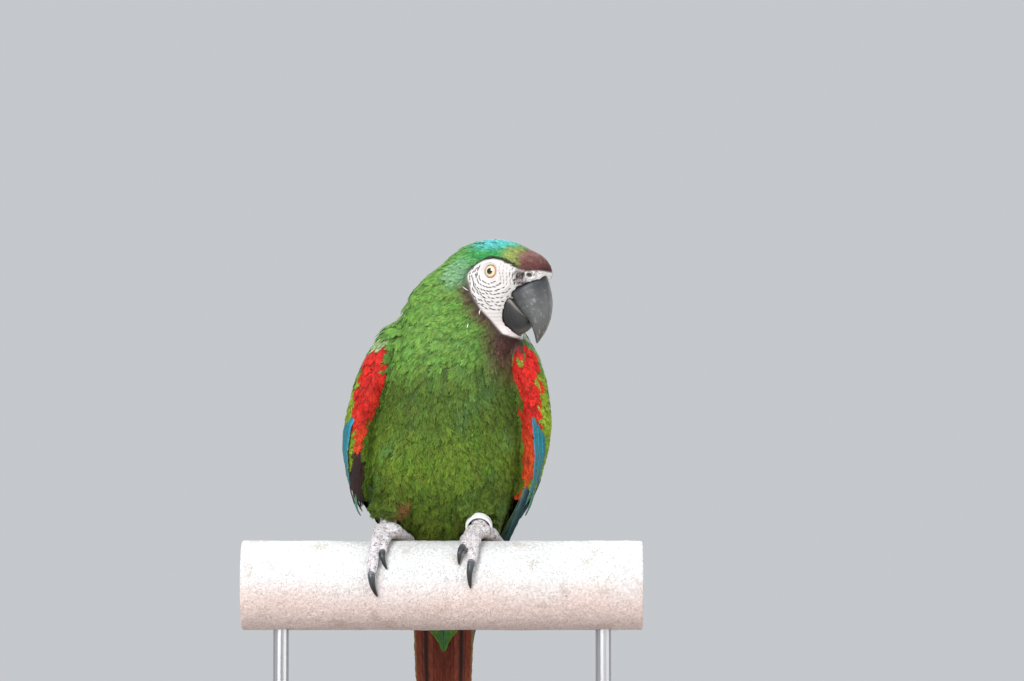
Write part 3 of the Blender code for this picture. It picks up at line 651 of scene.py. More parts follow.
def sculpt_face(points, normals):
    """Lids, cere, nostrils and folds of the bare face, in the head's frame."""
    near = local(HEAD_FRAME, points)
    forward, up, out = -near[:, 1], near[:, 2], near[:, 0]
    sign = np.sign(out)
    across, above = near[:, 1] + EYE_FORWARD, up - EYE_UP
    distance = np.hypot(across, above)
    close = (distance < 9.5) & (abs(out) > 8)
    margin = close & (abs(distance - LID_RADIUS) < 0.30)
    pull = np.where(margin, LID_RADIUS / np.maximum(distance, 0.1), 1)
    near[:, 1] = across * pull - EYE_FORWARD
    near[:, 2] = above * pull + EYE_UP
    distance = np.where(margin, LID_RADIUS, distance)
    near[:, 0] = np.where(close, sign * eye_mound(distance, abs(out)), near[:, 0])
    inward = turned(HEAD_FRAME.inverted(), normals)
    nostril = np.hypot(forward - NOSTRIL[0], up - NOSTRIL[1])
    sink = -1.5 * ease(1.25, 0.5, nostril) + 0.35 * ease(2.6, 1.5, nostril) * ease(0.9, 1.4, nostril)
    cere = 0.55 * ease(18, 23, forward) * ease(-14, -8, up)
    rows = 0.08 * np.sin(2 * math.pi * (distance - 6.6) / 2.05)
    rows *= ease(8, 11, distance) * ease(0, -1.5, face_distance(forward, up))
    near += inward * (sink + cere + rows)[:, None]
    return world(HEAD_FRAME, near)


def face_mask(points, reach):
    """Whether each point is on the bare face or within this reach of its edge."""
    forward, up, _ = head_view(points)
    on_side = face_distance(forward, up) < reach
    return on_side & (up > -44) & (forward > -16) & (local(BODY_FRAME, points)[:, 2] > 150)


def refine_face(mesh):
    """Cuts the faces of the bare skin into nine each."""
    bm = bmesh.new()
    bm.from_mesh(mesh)
    centres = np.array([f.calc_center_median() for f in bm.faces])
    chosen = face_mask(centres, 2.5)
    edges = {e for f, hit in zip(bm.faces, chosen) if hit for e in f.edges}
    bmesh.ops.subdivide_edges(bm, edges=list(edges), cuts=2, use_grid_fill=True)
    bmesh.ops.triangulate(bm, faces=[f for f in bm.faces if len(f.verts) > 4])
    bm.to_mesh(mesh)
    bm.free()


def make_skin():
    """The skin of head, body and wings in one, at the depth of the coat below the CAD flesh."""
    bm = joined([frame["nodes"][name].data for name in BODY + WINGS])
    bmesh.ops.remove_doubles(bm, verts=bm.verts, dist=0.001 * MM)
    bm.normal_update()
    for vert in bm.verts:
        vert.co += SWELL * MM * vert.normal
    for _, sign in SIDES:
        place = HEAD_FRAME @ eye_place(sign)
        radius = (EYE_RADIUS - 0.1) * MM
        bmesh.ops.create_uvsphere(bm, u_segments=24, v_segments=16, radius=radius, matrix=place)
    mesh = blended(bm, 1.25, 5)
    refine_face(mesh)
    points, normals = points_of(mesh), normals_of(mesh)
    on_wing, on_head = regions(points)
    bare = ease(1.0, -1.5, face_distance(*head_view(points)[:2])) * on_head
    depth = np.where(on_wing, WING_COAT, BODY_COAT + (HEAD_COAT - BODY_COAT) * on_head)
    depth = SWELL + depth + (BARE_DEPTH - depth) * bare
    points = sculpt_face(points - normals * (depth * MM)[:, None], normals)
    move_points(mesh, points)
    forward, up, _ = head_view(points)
    # Under the feathers the skin takes the plumage colour at 0.45: painted shade that shows in the gaps
    # between them
    coat = plumage(points, on_wing, on_head) * 0.45
    set_colours(mesh, mix(coat, bare_colour(forward, up), bare))
    return piece("skin", mesh, SKIN, BODY + WINGS)


# ---------------------------------------------------------------- coat of small feathers

COAT_STEPS = 6  # of a small feather's middle line
REACH = 1.25  # how far the last barbs reach, in feather lengths
DARTS = 3.6  # tried for each root that the spacing asks for
NEAREST = 0.80  # the least distance of two roots, in spacings
CELL = 5.5  # side of the cells that sort the roots, more than the widest of those distances
LOWEST_ON_BODY, LOWEST_ON_WING = -2, 64  # heights where the long vanes take over
BREAST_TOP, BELLY_TOP, FLANK = 128, 78, 8  # heights and dorsal place where the coat's pieces meet
PATCH = 0.0015  # half the width of a feather's patch on the map


def vane_template(barbs, sweep=0.22):
    """One small vane: its points as (along, across, barb, freedom) and its triangles. Barbs part at the
    edge, where they are free to stray."""
    rows, faces = [], []

    def point(*row):
        rows.append(row)
        return len(rows) - 1

    def width(t):
        return math.sin(math.pi * (0.06 + 0.90 * t) ** 0.8) ** 0.7

    stations = np.linspace(0, 1, barbs + 1).tolist()
    shaft = [point(t, 0, i, 0) for i, t in enumerate(stations)]
    for side in (-1, 1):
        middle = [point(t + 0.5 * sweep, side * 0.5 * width(t), i, 0.3) for i, t in enumerate(stations)]
        for i in range(barbs):
            t = (i + 0.4) / barbs
            tip = point(t + sweep, side * width(t), i, 1)
            notch = point(t + 0.5 / barbs + 0.75 * sweep, side * 0.78 * width(t), i, 0.7)
            made = (
                (shaft[i], middle[i], middle[i + 1]),
                (shaft[i], middle[i + 1], shaft[i + 1]),
                (middle[i], tip, notch),
                (middle[i], notch, middle[i + 1]),
            )
            faces += [face if side > 0 else face[::-1] for face in made]
    return np.array(rows), np.array(faces)


TEMPLATES = {barbs: vane_template(barbs) for barbs in (4, 10, 12, 22)}


def lay_vanes(surface, roots, directions, style, barbs):
    """Small feathers over a surface. The style holds their lengths, half widths, lifts and raggedness.
    Returns points, faces, vane places, shades, places along each feather, and its middle line."""
    template, faces = TEMPLATES[barbs]
    along, across, barb, freedom = template.T
    count, size = len(roots), len(template)
    length, width, lift, ragged = (column[:, None] for column in style)
    place, normal = surface.nearest(roots)
    course = across_from(directions, normal)
    lines = []
    for _ in range(COAT_STEPS + 1):
        lines.append((place, normal, course))
        place, found = surface.nearest(place + course * (length * REACH / COAT_STEPS * MM))
        normal = unit(found + normal)
        course = across_from(course, normal)
    centre, up, ahead = (np.stack(part, 1) for part in zip(*lines))
    side = np.cross(ahead, up)
    along = along + ragged * rng.normal(0, 0.075, (count, size)) * freedom
    step = np.clip(along / REACH * COAT_STEPS, 0, COAT_STEPS - 1e-4)
    low = step.astype(int)
    part = (step - low)[..., None]
    pick = np.arange(count)[:, None]
    lines = [line[pick, low] * (1 - part) + line[pick, low + 1] * part for line in (centre, up, side)]
    centre, up, side = lines
    x = across * width * (1 + ragged * rng.normal(0, 0.08, (count, size)) * freedom)
    yaw, roll = rng.normal(0, 0.10, (2, count, 1))
    bow = lift * np.clip(along, 0, 1.1) ** 1.15 - 0.14 * (x**2) / np.maximum(width, 0.5)
    height = 0.15 + bow + roll * x + ragged * rng.normal(0, 0.16, (count, size)) * freedom
    x = x + yaw * along * length * 0.5
    points = centre + (side * x[..., None] + up * height[..., None]) * MM
    every = faces[None] + (np.arange(count) * size)[:, None, None]
    number = np.broadcast_to(rng.random((count, 1)), x.shape)
    vane = np.stack([along * length, x, number], -1)
    shade = 0.72 + 0.28 * ease(0.25, 0.8, along)
    shade = shade * (1 + 0.10 * abs(across)) * (1 - 0.16 * ease(0.09, 0.0, abs(across)))
    barb = (barb + (size * (across > 0))).astype(int)
    tones = 1 + 0.24 * rng.normal(0, 1, (count, barb.max() + 1))
    shade = shade * tones[pick, barb[None]] * (1 + 0.08 * rng.normal(0, 1, (count, 1)))
    return points.reshape(-1, 3), every.reshape(-1, 3), vane.reshape(-1, 3), shade, along, centre


def spread_roots(mesh, keep, spacing):
    """Roots spread evenly over the faces that keep() accepts, as far apart as spacing() says (mm)."""
    mesh.calc_loop_triangles()
    triangles = np.empty(len(mesh.loop_triangles) * 3, np.int32)
    mesh.loop_triangles.foreach_get("vertices", triangles)
    corners = points_of(mesh)[triangles.reshape(-1, 3)]
    centres = corners.mean(1)
    chosen = keep(centres)
    corners, centres = corners[chosen], centres[chosen]
    gap = spacing(centres)
    first, second = corners[:, 1] - corners[:, 0], corners[:, 2] - corners[:, 0]
    weight = np.linalg.norm(np.cross(first, second), axis=1) / 2 / MM**2 / gap**2
    total = int(DARTS * weight.sum())
    picks = rng.choice(len(weight), total, p=weight / weight.sum())
    a, b = rng.random((2, total, 1))
    flip = a + b > 1
    a, b = np.where(flip, 1 - a, a), np.where(flip, 1 - b, b)
    darts = corners[picks, 0] * (1 - a - b) + corners[picks, 1] * a + corners[picks, 2] * b
    radius = gap[picks] * NEAREST * MM
    keys = np.floor(darts / (CELL * MM)).astype(int).tolist()
    cells, kept = {}, []
    for index, (dart, reach, (i, j, k)) in enumerate(zip(darts.tolist(), radius.tolist(), keys)):
        x, y, z = dart
        limit = reach * reach
        near = (
            other
            for di in (-1, 0, 1)
            for dj in (-1, 0, 1)
            for dk in (-1, 0, 1)
            for other in cells.get((i + di, j + dj, k + dk), ())
        )
        if all((x - p) ** 2 + (y - q) ** 2 + (z - r) ** 2 > limit for p, q, r in near):
            cells.setdefault((i, j, k), []).append(dart)
            kept.append(index)
    return darts[kept]


def open_to_air(points, normals):
    """Whether no skin lies close over each point, as it does where a wing lies on the body."""
    start = points + normals * 0.8 * MM
    rays = zip(start.tolist(), normals.tolist())
    return np.array([SKIN_SURFACE.tree.ray_cast(spot, way, 7 * MM)[0] is None for spot, way in rays])


def lie(points, on_head, on_wing):
    """Direction in which feathers lie: away from the bill on the head, down the body's axis below."""
    down = turned(BODY_FRAME, [(0, 0, -1)])[0]
    near = local(HEAD_FRAME, points)
    away = turned(HEAD_FRAME, unit(near - np.array((0, -27, -9)))) + np.array((0, 0, -0.35))
    body = local(BODY_FRAME, points)
    outward = turned(BODY_FRAME, body * (0.0055, 0, 0))
    course = mix(down + outward, away, on_head)
    wander = noise_at(points, 14, 2, noise.noise_vector) * 0.42 * (1 - 0.7 * on_head)[:, None]
    wander += noise_at(points, 5, 3, noise.noise_vector) * 0.22
    return unit(course) + wander * np.where(on_wing, 0.3, 1)[:, None]


# Small feathers: spacing, length, half width, lift and raggedness
HEAD_SIZES = (  # by the distance from the bill's base
    (0, 0.95, 3.0, 0.65, 0.30, 0.5),
    (10, 1.2, 3.6, 0.95, 0.36, 0.5),
    (25, 1.75, 5.5, 1.55, 0.55, 0.5),
    (45, 2.5, 9.0, 2.5, 0.90, 0.5),
    (62, 3.2, 12.0, 3.4, 1.20, 0.5),
    (80, 3.7, 14.0, 4.2, 1.40, 0.5),
)
BODY_SIZES = (  # by the height along the body
    (0, 2.9, 17, 2.3, 2.0, 1.4),
    (60, 3.0, 15.5, 2.6, 1.4, 1.2),
    (120, 2.8, 13.5, 2.9, 1.0, 0.8),
    (170, 2.6, 12.5, 2.6, 0.9, 0.7),
)
WING_SIZES = (2.7, 8.5, 2.9, 1.1, 0.45)


def read_table(rows, places):
    """The rows' other columns at places along their first one."""
    start, *columns = np.array(rows, float).T
    return np.stack([np.interp(places, start, column) for column in columns], -1)


def coat_sizes(points):
    """The feathers' sizes at each point, whether it is on a wing, and how far it counts as head."""
    on_wing, on_head = regions(points)
    forward, up, _ = head_view(points)
    small = 0.62 + 0.38 * ease(0, 9, face_distance(forward, up))
    head = read_table(HEAD_SIZES, np.hypot(forward - 22, up - 2))
    head[:, :3] *= np.stack([small, 0.35 + 0.65 * small, small], 1)
    body = read_table(BODY_SIZES, local(BODY_FRAME, points)[:, 2])
    return np.where(on_wing[:, None], WING_SIZES, mix(body, head, on_head)), on_wing, on_head


def coat_regions(places, on_wing, on_head):
    """For each piece of the coat, the number of barbs on a side of its feathers, and its roots."""
    side, dorsal, height = places.T
    low, front = ~on_wing & (height <= BREAST_TOP), dorsal < FLANK
    return {
        "coat_head": (10, ~on_wing & (on_head > 0.5)),
        "coat_neck": (22, ~on_wing & (on_head <= 0.5) & (height > BREAST_TOP)),
        "coat_breast": (22, low & front & (height > BELLY_TOP)),
        "coat_belly": (22, low & front & (height <= BELLY_TOP)),
        "coat_back": (22, low & ~front),
        "coat_wing_left": (12, on_wing & (side > 0)),
        "coat_wing_right": (12, on_wing & (side <= 0)),
    }


def unwrap(points, on_head):
    """Places on an unwrap round the trunk's axis or, for the head, round the line from nape to bill."""
    if on_head:
        near = local(HEAD_FRAME, points)
        return np.stack([0.5 + np.arctan2(near[:, 0], near[:, 2] + 10) / 6.6, 0.5 - near[:, 1] / 110], 1)
    body = local(BODY_FRAME, points)
    around = np.arctan2(body[:, 0], -body[:, 1])
    return np.stack([0.5 + around / 6.6, (body[:, 2] + 30) / 240], 1)


def finish_coat(name, points, faces, vane, colours, roots, on_head, sizes):
    """One piece of small feathers; in its map each of them is a small patch at its root's place."""
    mesh = array_mesh(name, points, faces)
    set_colours(mesh, colours)
    set_vectors(mesh, "Vane", vane)
    size = len(points) // len(roots)
    patch = np.clip(vane[:, 1::-1] / np.broadcast_to(sizes, (len(roots), 2)).repeat(size, 0), -1, 1.2)
    set_uv(mesh, unwrap(roots, on_head).repeat(size, 0) + PATCH * patch)
    return piece(name, mesh, PLUMAGE)


def grow_coat(name, roots, barbs):
    sizes, on_wing, on_head = coat_sizes(roots)
    vary = rng.normal(1, 0.10, (len(roots), 1))
    clump = 1 + 0.35 * noise_at(roots, 9, 5)
    ruffle = np.where(on_wing, 0.6, 1) * clump * rng.uniform(0.7, 1.35, len(roots))
    style = (*(sizes[:, 1:3] * vary).T, sizes[:, 3] * ruffle, sizes[:, 4])
    course = lie(roots, on_head, on_wing)
    points, faces, vane, shade, along, centre = lay_vanes(SKIN_SURFACE, roots, course, style, barbs)
    middle = centre[:, shade.shape[1] // 2]
    base = wing_colour(middle) if name.startswith("coat_wing") else plumage(middle, on_wing, on_head)
    base = base * (1 + 0.10 * rng.normal(0, 1, (len(roots), 3)) * (0.6, 0.35, 0.6))
    tips = base * (1.12, 1.10, 0.95)
    colour = mix(base[:, None], tips[:, None], ease(0.7, 1.1, along)) * shade[..., None]
    head = name.startswith("coat_head")
    finish_coat(name, points, faces, vane, colour.reshape(-1, 3), roots, head, sizes[:, 2:0:-1])


def feathered(points):
    """Whether small feathers grow here: not on the bare face nor under bill, tail or long vanes."""
    on_wing, on_head = regions(points)
    height = local(BODY_FRAME, points)[:, 2]
    bare = face_mask(points, 0.35 + 0.9 * noise_at(points, 2.0, 8))
    under_bill = (on_head > 0.5) & (head_view(points)[0] > 30)
    return ~bare & ~under_bill & (height >= np.where(on_wing, LOWEST_ON_WING, LOWEST_ON_BODY))


def make_coat():
    roots = spread_roots(SKIN_SURFACE.mesh, feathered, lambda points: coat_sizes(points)[0][:, 0])
    roots, normals = SKIN_SURFACE.nearest(roots)
    roots = roots[open_to_air(roots, normals)]
    places = local(BODY_FRAME, roots)
    for name, (barbs, inside) in coat_regions(places, *regions(roots)).items():
        here = np.flatnonzero(inside)
        grow_coat(name, roots[here[np.argsort(places[here, 0])]], barbs)


# Young feathers still in their white sheaths: forward and up, direction, length and half width
PIN_FEATHERS = (
    (-3.6, -23.2, -0.5, -0.9, 3.6, 0.30),
    (-9.6, -31.5, -0.4, -1.0, 4.4, 0.34),
    (-10.0, -13.0, -1.0, 0.4, 3.2, 0.28),
)
PIN_LENGTH = 3  # the least of them; all others on the face are shorter
BRISTLES = 110  # on the lores, and as many over the cere
ASIDE = 32.0  # side place where the rays on to the face start


def face_line_rows():
    """The face's tiny feathers as in PIN_FEATHERS: arcs round the eye, a patch before it, bristles."""
    places = []
    for row in range(8):
        radius = 7.7 + 2.05 * row
        centre = (EYE_FORWARD + 0.35 * row, EYE_UP)
        count = int(radius * math.radians(150) / 1.95)
        for step in range(count):
            angle = math.radians(165 + 155 * (step + 0.5 * (row % 2)) / count) + rng.normal(0, 0.02)
            spread = radius + rng.normal(0, 0.22)
            spot = (centre[0] + spread * math.cos(angle), centre[1] + spread * math.sin(angle))
            slant = angle + math.pi / 2 - 0.42 + rng.normal(0, 0.15)
            places.append((*spot, -math.cos(slant), -math.sin(slant), 1.85, 0.29))
    for row in range(5):
        for step in range(7):
            forward = EYE_FORWARD + 6.4 + 1.7 * row + rng.normal(0, 0.15)
            up = 3.0 - 1.9 * step + rng.normal(0, 0.2)
            places.append((forward, up, -0.25, -1, 1.2, 0.13))
    for _ in range(BRISTLES):
        spot = rng.normal((18.6, -5.6), (2.1, 2.9))
        places.append((*spot, -0.5 + rng.normal(0, 0.3), -0.7, 1.6, 0.13))
    for _ in range(BRISTLES):
        spot = rng.normal((24.5, -3.2), (3.2, 1.4))
        places.append((*spot, -0.9, 0.3 + rng.normal(0, 0.3), 1.4, 0.11))
    rows = np.array(places)
    from_eye = np.hypot(rows[:, 0] - EYE_FORWARD, rows[:, 1] - EYE_UP)
    rows = rows[(face_distance(*rows[:, :2].T) < -0.5) & (from_eye > 6.0) & (rows[:, 1] > -27)]
    rows = rows[np.hypot(rows[:, 0] - NOSTRIL[0], rows[:, 1] - NOSTRIL[1]) > 1.6]
    return np.vstack([rows, PIN_FEATHERS])


def make_face_lines():
    """The face's tiny feathers, set on the skin straight in from both sides of the head."""
    rows = face_line_rows()
    roots, courses, kept = [], [], []
    for _, sign in SIDES:
        aside = np.full(len(rows), sign * ASIDE)
        start = np.stack([aside, -rows[:, 0], rows[:, 1]], 1)
        inward = turned(HEAD_FRAME, [(-sign, 0, 0)])[0]
        for spot, row in zip(world(HEAD_FRAME, start), rows):
            hit = SKIN_SURFACE.tree.ray_cast(spot, inward, 0.05)[0]
            if hit is not None:
                roots.append(hit)
                courses.append((0, -row[2], row[3]))
                kept.append(row[4:])
    roots, (length, width), count = np.array(roots), np.array(kept).T, len(roots)
    pale = length > PIN_LENGTH
    grown = length * rng.uniform(0.8, 1.25, count)
    style = (grown, width, rng.uniform(0.10, 0.3, count) + 2.4 * pale, np.full(count, 0.3))
    course = turned(HEAD_FRAME, courses)
    points, faces, vane, shade, _, _ = lay_vanes(SKIN_SURFACE, roots, course, style, 4)
    colours = np.where(pale.repeat(shade.shape[1])[:, None], (0.85, 0.86, 0.84), (0.022, 0.016, 0.014))
    finish_coat("face_lines", points, faces, vane, colours, roots, True, (1, 1))


# ---------------------------------------------------------------- wings

# Each row: height, side and dorsal place of the leading edge's middle, its radius, and side and dorsal
# place of the back edge
WING_ROWS = (
    (168, 33, 0, 3.5, 26, 20),
    (163, 37, -2, 6.5, 22, 28),
    (152, 42, -6, 8.6, 17, 36),
    (137, 47, -10, 9.4, 13, 43),
    (118, 51, -13, 9.0, 10, 47),
    (100, 52, -14, 7.6, 9, 47.5),
    (82, 50.5, -14, 5.8, 8.5, 45),
    (61, 45.5, -12, 4.2, 8, 39),
    (35, 35.5, -8, 3.0, 7, 30),
    (19, 31, -5.6, 2.6, 6.4, 24.4),
    (4, 26.8, -2.8, 2.3, 6, 18.8),
    (-13, 22.6, -0.4, 2.0, 6, 13.8),
    (-32, 19, 1, 1.8, 6, 10),
    (-54, 16, 0.5, 1.4, 6.5, 5),
    (-70, 13, -3, 1.0, 6, -0.5),
    (-80, 10, -6, 0.7, 8, -5),
)
# Outer and inner edge of each wing's red, seen from the front: height above the perch, side place
RED_EDGE = {
    1: ((27, 46), (34, 51), (46, 55), (64, 57), (77, 57.5), (99, 55), (112, 49)),
    -1: ((50, 51), (77, 52), (99, 46), (112, 41)),
}
RED_START = {
    1: ((29, 43.5), (46, 43.5), (64, 43), (77, 42), (99, 41), (112, 42)),
    -1: ((50, 46.5), (64, 44), (77, 39), (88, 34.5), (99, 33), (112, 34)),
}
GREEN_SPOTS = 0.012  # share of the left wing's red feathers that are green


def wing_at(sign, height, angle):
    """A wing's outer surface: its points and outward normals at heights and angles. An angle runs from
    -180 degrees at the inner side of the leading edge through 0 at its outer side to 90 at the back."""
    nose_x, nose_y, radius, back_x, back_y = read_table(WING_ROWS[::-1], height).T
    a = np.radians(angle)
    cos, sin = np.cos(a), np.sin(a)
    reach_x, reach_y = nose_x + radius - back_x, back_y - nose_y
    round_nose = a < 0
    x = np.where(round_nose, nose_x + radius * cos, back_x + reach_x * cos)
    y = np.where(round_nose, nose_y + radius * sin, nose_y + reach_y * sin)
    normal_x = np.where(round_nose, cos, cos * reach_y)
    normal_y = np.where(round_nose, sin, sin * reach_x)
    normal = unit(np.stack([normal_x, normal_y, 0 * cos], -1)) * (sign, 1, 1)
    x = sign * x + np.interp(height, [0, 60, 170], [1, 0, 7])
    height = np.broadcast_to(height, x.shape)
    return world(BODY_FRAME, np.stack([x, y, height], -1)), turned(BODY_FRAME, normal)


def wing_colour(points):
    """Colour of a wing's small feathers: red along its front edge, the body's green inside of that, and
    the pale bend of the right wing."""
    side, _, up = local(PERCH_FRAME, points).T
    _, dorsal, height = local(BODY_FRAME, points).T
    behind = dorsal - read_table(WING_ROWS[::-1], height)[:, 1]
    edge, begin = (
        np.where(side > 0, *(read_table(table[sign], up)[:, 0] for _, sign in SIDES))
        for table in (RED_EDGE, RED_START)
    )
    past = abs(side) - edge - 1.1 * noise_at(points, 9, 6)
    inner = abs(side) < begin + 0.6 * noise_at(points, 6, 18)
    top = np.where(side > 0, 112, 106) - 4 * noise_at(points, 7, 9)
    red = (behind < 4) & (past < 0) & ~inner & (up < top)
    dark = red & (side < 0) & (up < 49 + 4 * noise_at(points, 5, 16))
    bend = ease(103, 108, up) * ease(127, 120, up) * ease(9, 5, behind) * ease(31, 34, -side)

    none = np.zeros(len(points))
    colour = plumage(points, none == 0, none)
    inner &= (behind < 4) & (up < 106)
    colour = np.where(inner[:, None], plumage(points, none > 0, none), colour)
    colour = mix(colour, BEND_GREEN, 0.85 * bend)
    reds = mix(SCARLET, RED, ease(45, 75, up) * 0.8 + 0.2 * rng.random(len(points)))
    red &= (rng.random(len(points)) >= GREEN_SPOTS) | (side < 0)
    colour = np.where(red[:, None], reds, colour)
    return np.where(dark[:, None], DARK_BROWN, colour)


VANE_COLUMNS = np.array([-1, -0.86, -0.66, -0.44, -0.24, -0.10, 0, 0.10, 0.24, 0.44, 0.66, 0.86, 1])
VANE_THICK, VANE_SWEEP = 0.30, 1.2
TOP, UNDER, RIM = 0, 1, 2  # sides of a vane


def vane_sheet(centre, side_way, normal, half, splits, camber=0.3):
    """A closed thin vane with a raised shaft. centre, side_way, normal and half (the widths of both webs)
    are rows along its middle line; a split is a row, a web and its width. Returns points, faces, the
    points' places as (along, across, side of the vane), and their distances from the shaft."""
    rows, across, columns = len(centre), VANE_COLUMNS, len(VANE_COLUMNS)
    t = np.repeat(np.linspace(0, 1, rows)[:, None], columns, 1)
    c = np.repeat(across[None], rows, 0)
    reach = np.where(c < 0, half[:, :1], half[:, 1:]) * c
    ragged = rng.normal(0, 0.10, (rows, 2))
    reach = reach + np.where(abs(c) > 0.95, np.where(c < 0, -ragged[:, :1], ragged[:, 1:]), 0)
    ahead = unit(np.gradient(centre, axis=0))
    shaft = 0.30 * np.exp(-((c / 0.13) ** 2)) * (1 - 0.7 * t)
    lift = camber * (1 - c**2) + shaft + 0.04 * rng.normal(0, 1, (rows, columns)) * (abs(c) > 0.3)
    along = VANE_SWEEP * abs(c) ** 0.8
    for row, sign, size in splits:
        near = np.clip(1 - abs(np.arange(rows) - row - 0.5) / 5, 0, 1)[:, None]
        outer = ease(0.44, 1, c * sign)
        along = along + size * near * outer * np.where(np.arange(rows)[:, None] > row, 0.5, -0.5)
    ways = ((side_way, reach), (normal, lift), (ahead, along))
    off = sum(way[:, None] * distance[..., None] for way, distance in ways)
    top = (centre[:, None] + off * MM).reshape(-1, 3)
    out = np.repeat(normal[:, None], columns, 1).reshape(-1, 3)
    faces = grid_faces(rows, columns)
    row_of, column_of = faces[:, 0] // columns, faces[:, 0] % columns
    for row, sign, _ in splits:
        open_side = (column_of >= 9) if sign > 0 else (column_of < 3)
        keep = ~((row_of == row) & open_side)
        faces, row_of, column_of = faces[keep], row_of[keep], column_of[keep]
    count = len(top)
    low = top - out * VANE_THICK * MM
    edges = faces[:, [0, 1, 1, 2, 2, 3, 3, 0]].reshape(-1, 2)
    keys = np.sort(edges, 1) @ (count, 1)
    _, where, times = np.unique(keys, return_inverse=True, return_counts=True)
    rim = edges[times[where] == 1]
    walls = np.stack([rim[:, 1], rim[:, 0], rim[:, 0] + count, rim[:, 1] + count], 1)
    points = np.vstack([top, low])
    made = np.tile(np.stack([t.ravel(), c.ravel(), reach.ravel()], 1), (2, 1))
    points, made = (np.vstack([part, part[walls.ravel()]]) for part in (points, made))
    side = np.repeat((TOP, UNDER, RIM), (count, count, walls.size))
    wall_faces = np.arange(walls.size).reshape(-1, 4) + 2 * count
    faces = np.vstack([faces, faces[:, ::-1] + count, wall_faces])
    return points, faces, np.column_stack([made[:, :2], side]), made[:, 2]


class Bundle:
    """Collects vanes into one mesh with their colours, barb places and map."""

    def __init__(self):
        self.parts, self.total = [], 0

    def add(self, sheet, length, colours):
        points, faces, place, width = sheet
        vane = np.column_stack([place[:, 0] * length, width, np.full(len(width), len(self.parts))])
        self.parts.append((points, faces + self.total, place, vane, colours))
        self.total += len(points)

    def make(self, name, finish, nodes=()):
        points, faces, place, vane, colours = (np.concatenate(part) for part in zip(*self.parts))
        mesh = array_mesh(name, points, faces)
        set_colours(mesh, colours)
        set_vectors(mesh, "Vane", vane)
        along, across, side = place.T
        column = 0.26 + 0.20 * across + 0.46 * (side == UNDER)
        column = vane[:, 2] + np.where(side == RIM, 0.95 + 0.02 * across, column)
        set_uv(mesh, np.stack([column / len(self.parts), 0.02 + 0.96 * along], 1))
        return piece(name, mesh, finish, nodes)


def quill_colour(place, outer, inner, edge, under, shaft=(0.03, 0.024, 0.018)):
    """Colours over a vane: outer web, inner web, a thin pale edge, the dark shaft, and its underside."""
    t, c, side = place.T
    colour = mix(outer, inner, ease(-0.05, 0.12, c))
    colour = mix(colour, edge, ease(-0.86, -0.97, c) * 0.8)
    colour = mix(colour, shaft, ease(0.10, 0.04, abs(c)) * 0.85)
    below = mix(under, np.array(under) / 2, ease(0.12, 0.05, abs(c)))
    colour = np.where((side == UNDER)[:, None], below, colour)
    streak = 1 + 0.16 * np.sin(37 * t + 9 * c) * np.sin(11 * t + 3) + 0.10 * rng.normal(0, 1, len(t))
    return colour * streak[:, None] * (1 - 0.25 * ease(0.90, 1.0, t))[:, None]


def quill_width(t, blunt=2.2):
    """Width of a vane along its length: quickly full, then narrowing to a rounded point."""
    return ease(-0.05, 0.08, t) * np.sqrt(np.clip(1 - t**blunt, 0.0008, 1)) * (1 - 0.18 * t)


# How far the primaries are tucked in towards the body, by height
TUCK_HEIGHTS = (-75, -55, -10, 20, 45, 68, 84)
TUCK = {1: (0, 5, 6, 4, 4, 2, 0), -1: (0, 5, 7, 9, 12, 10, 0)}
NO_TUCK = ((0, 1), (0, 0))
PRIMARY_TIPS = (-66, -75, -79, -77, -70, -58, -43, -27, -12)
UNDER_COATS = -1.7  # how deep a long vane's root goes under the small feathers


def lay_quill(sign, root, tip, angles, webs, layer, rows=46, buried=(60, 86), tuck=NO_TUCK):
    """A long vane on a wing's surface from its root's height to its tip's, at the angles given for both.
    The layer is its height off the surface; at the buried heights it goes under the small feathers."""
    t = np.linspace(0, 1, rows)
    height = root + (tip - root) * t
    angle = angles[0] + (angles[1] - angles[0]) * t
    centre, normal = wing_at(sign, height, angle)
    beside, _ = wing_at(sign, height, angle + 2.0)
    ahead = unit(np.gradient(centre, axis=0))
    side = across_from(across_from(beside - centre, normal), ahead)
    half = quill_width(t)[:, None] * np.array(webs)
    places = rng.integers(8, rows - 5, 3).tolist()
    splits = [(row, web, rng.uniform(0.3, 0.8)) for row, web in zip(places, (1, -1, 1))]
    rise = mix([layer], [UNDER_COATS], ease(*buried, height))
    inward = turned(BODY_FRAME, [(-sign, 0.7, 0)]) / math.hypot(1, 0.7)
    centre = centre + (unit(normal) * (rise - 0.2) + inward * np.interp(height, *tuck)[:, None]) * MM
    return vane_sheet(centre, side, unit(normal), half, splits)


def add_primaries(bundle, sign):
    for number, tip in enumerate(PRIMARY_TIPS):
        inward = number / (len(PRIMARY_TIPS) - 1)
        root, angles = 88 - 10 * inward, (-62 + 100 * inward, -30 + 62 * inward)
        layer, tuck = -1.0 + 0.16 * number, (TUCK_HEIGHTS, TUCK[sign])
        sheet = lay_quill(sign, root, tip, angles, (3.8, 6.0), layer, tuck=tuck)
        along, across, _ = sheet[2].T
        outer = mix((0.020, 0.150, 0.190), (0.035, 0.09, 0.11), ease(0.55, 0.95, along))
        outer = mix(outer, (0.05, 0.17, 0.07), 0.5 * ease(0.0, -0.9, across))
        inner = mix((0.022, 0.080, 0.080), (0.020, 0.022, 0.022), ease(0.55, 0.9, along))
        colours = quill_colour(sheet[2], outer, inner, (0.22, 0.30, 0.16), (0.055, 0.032, 0.020))
        bundle.add(sheet, root - tip, colours)


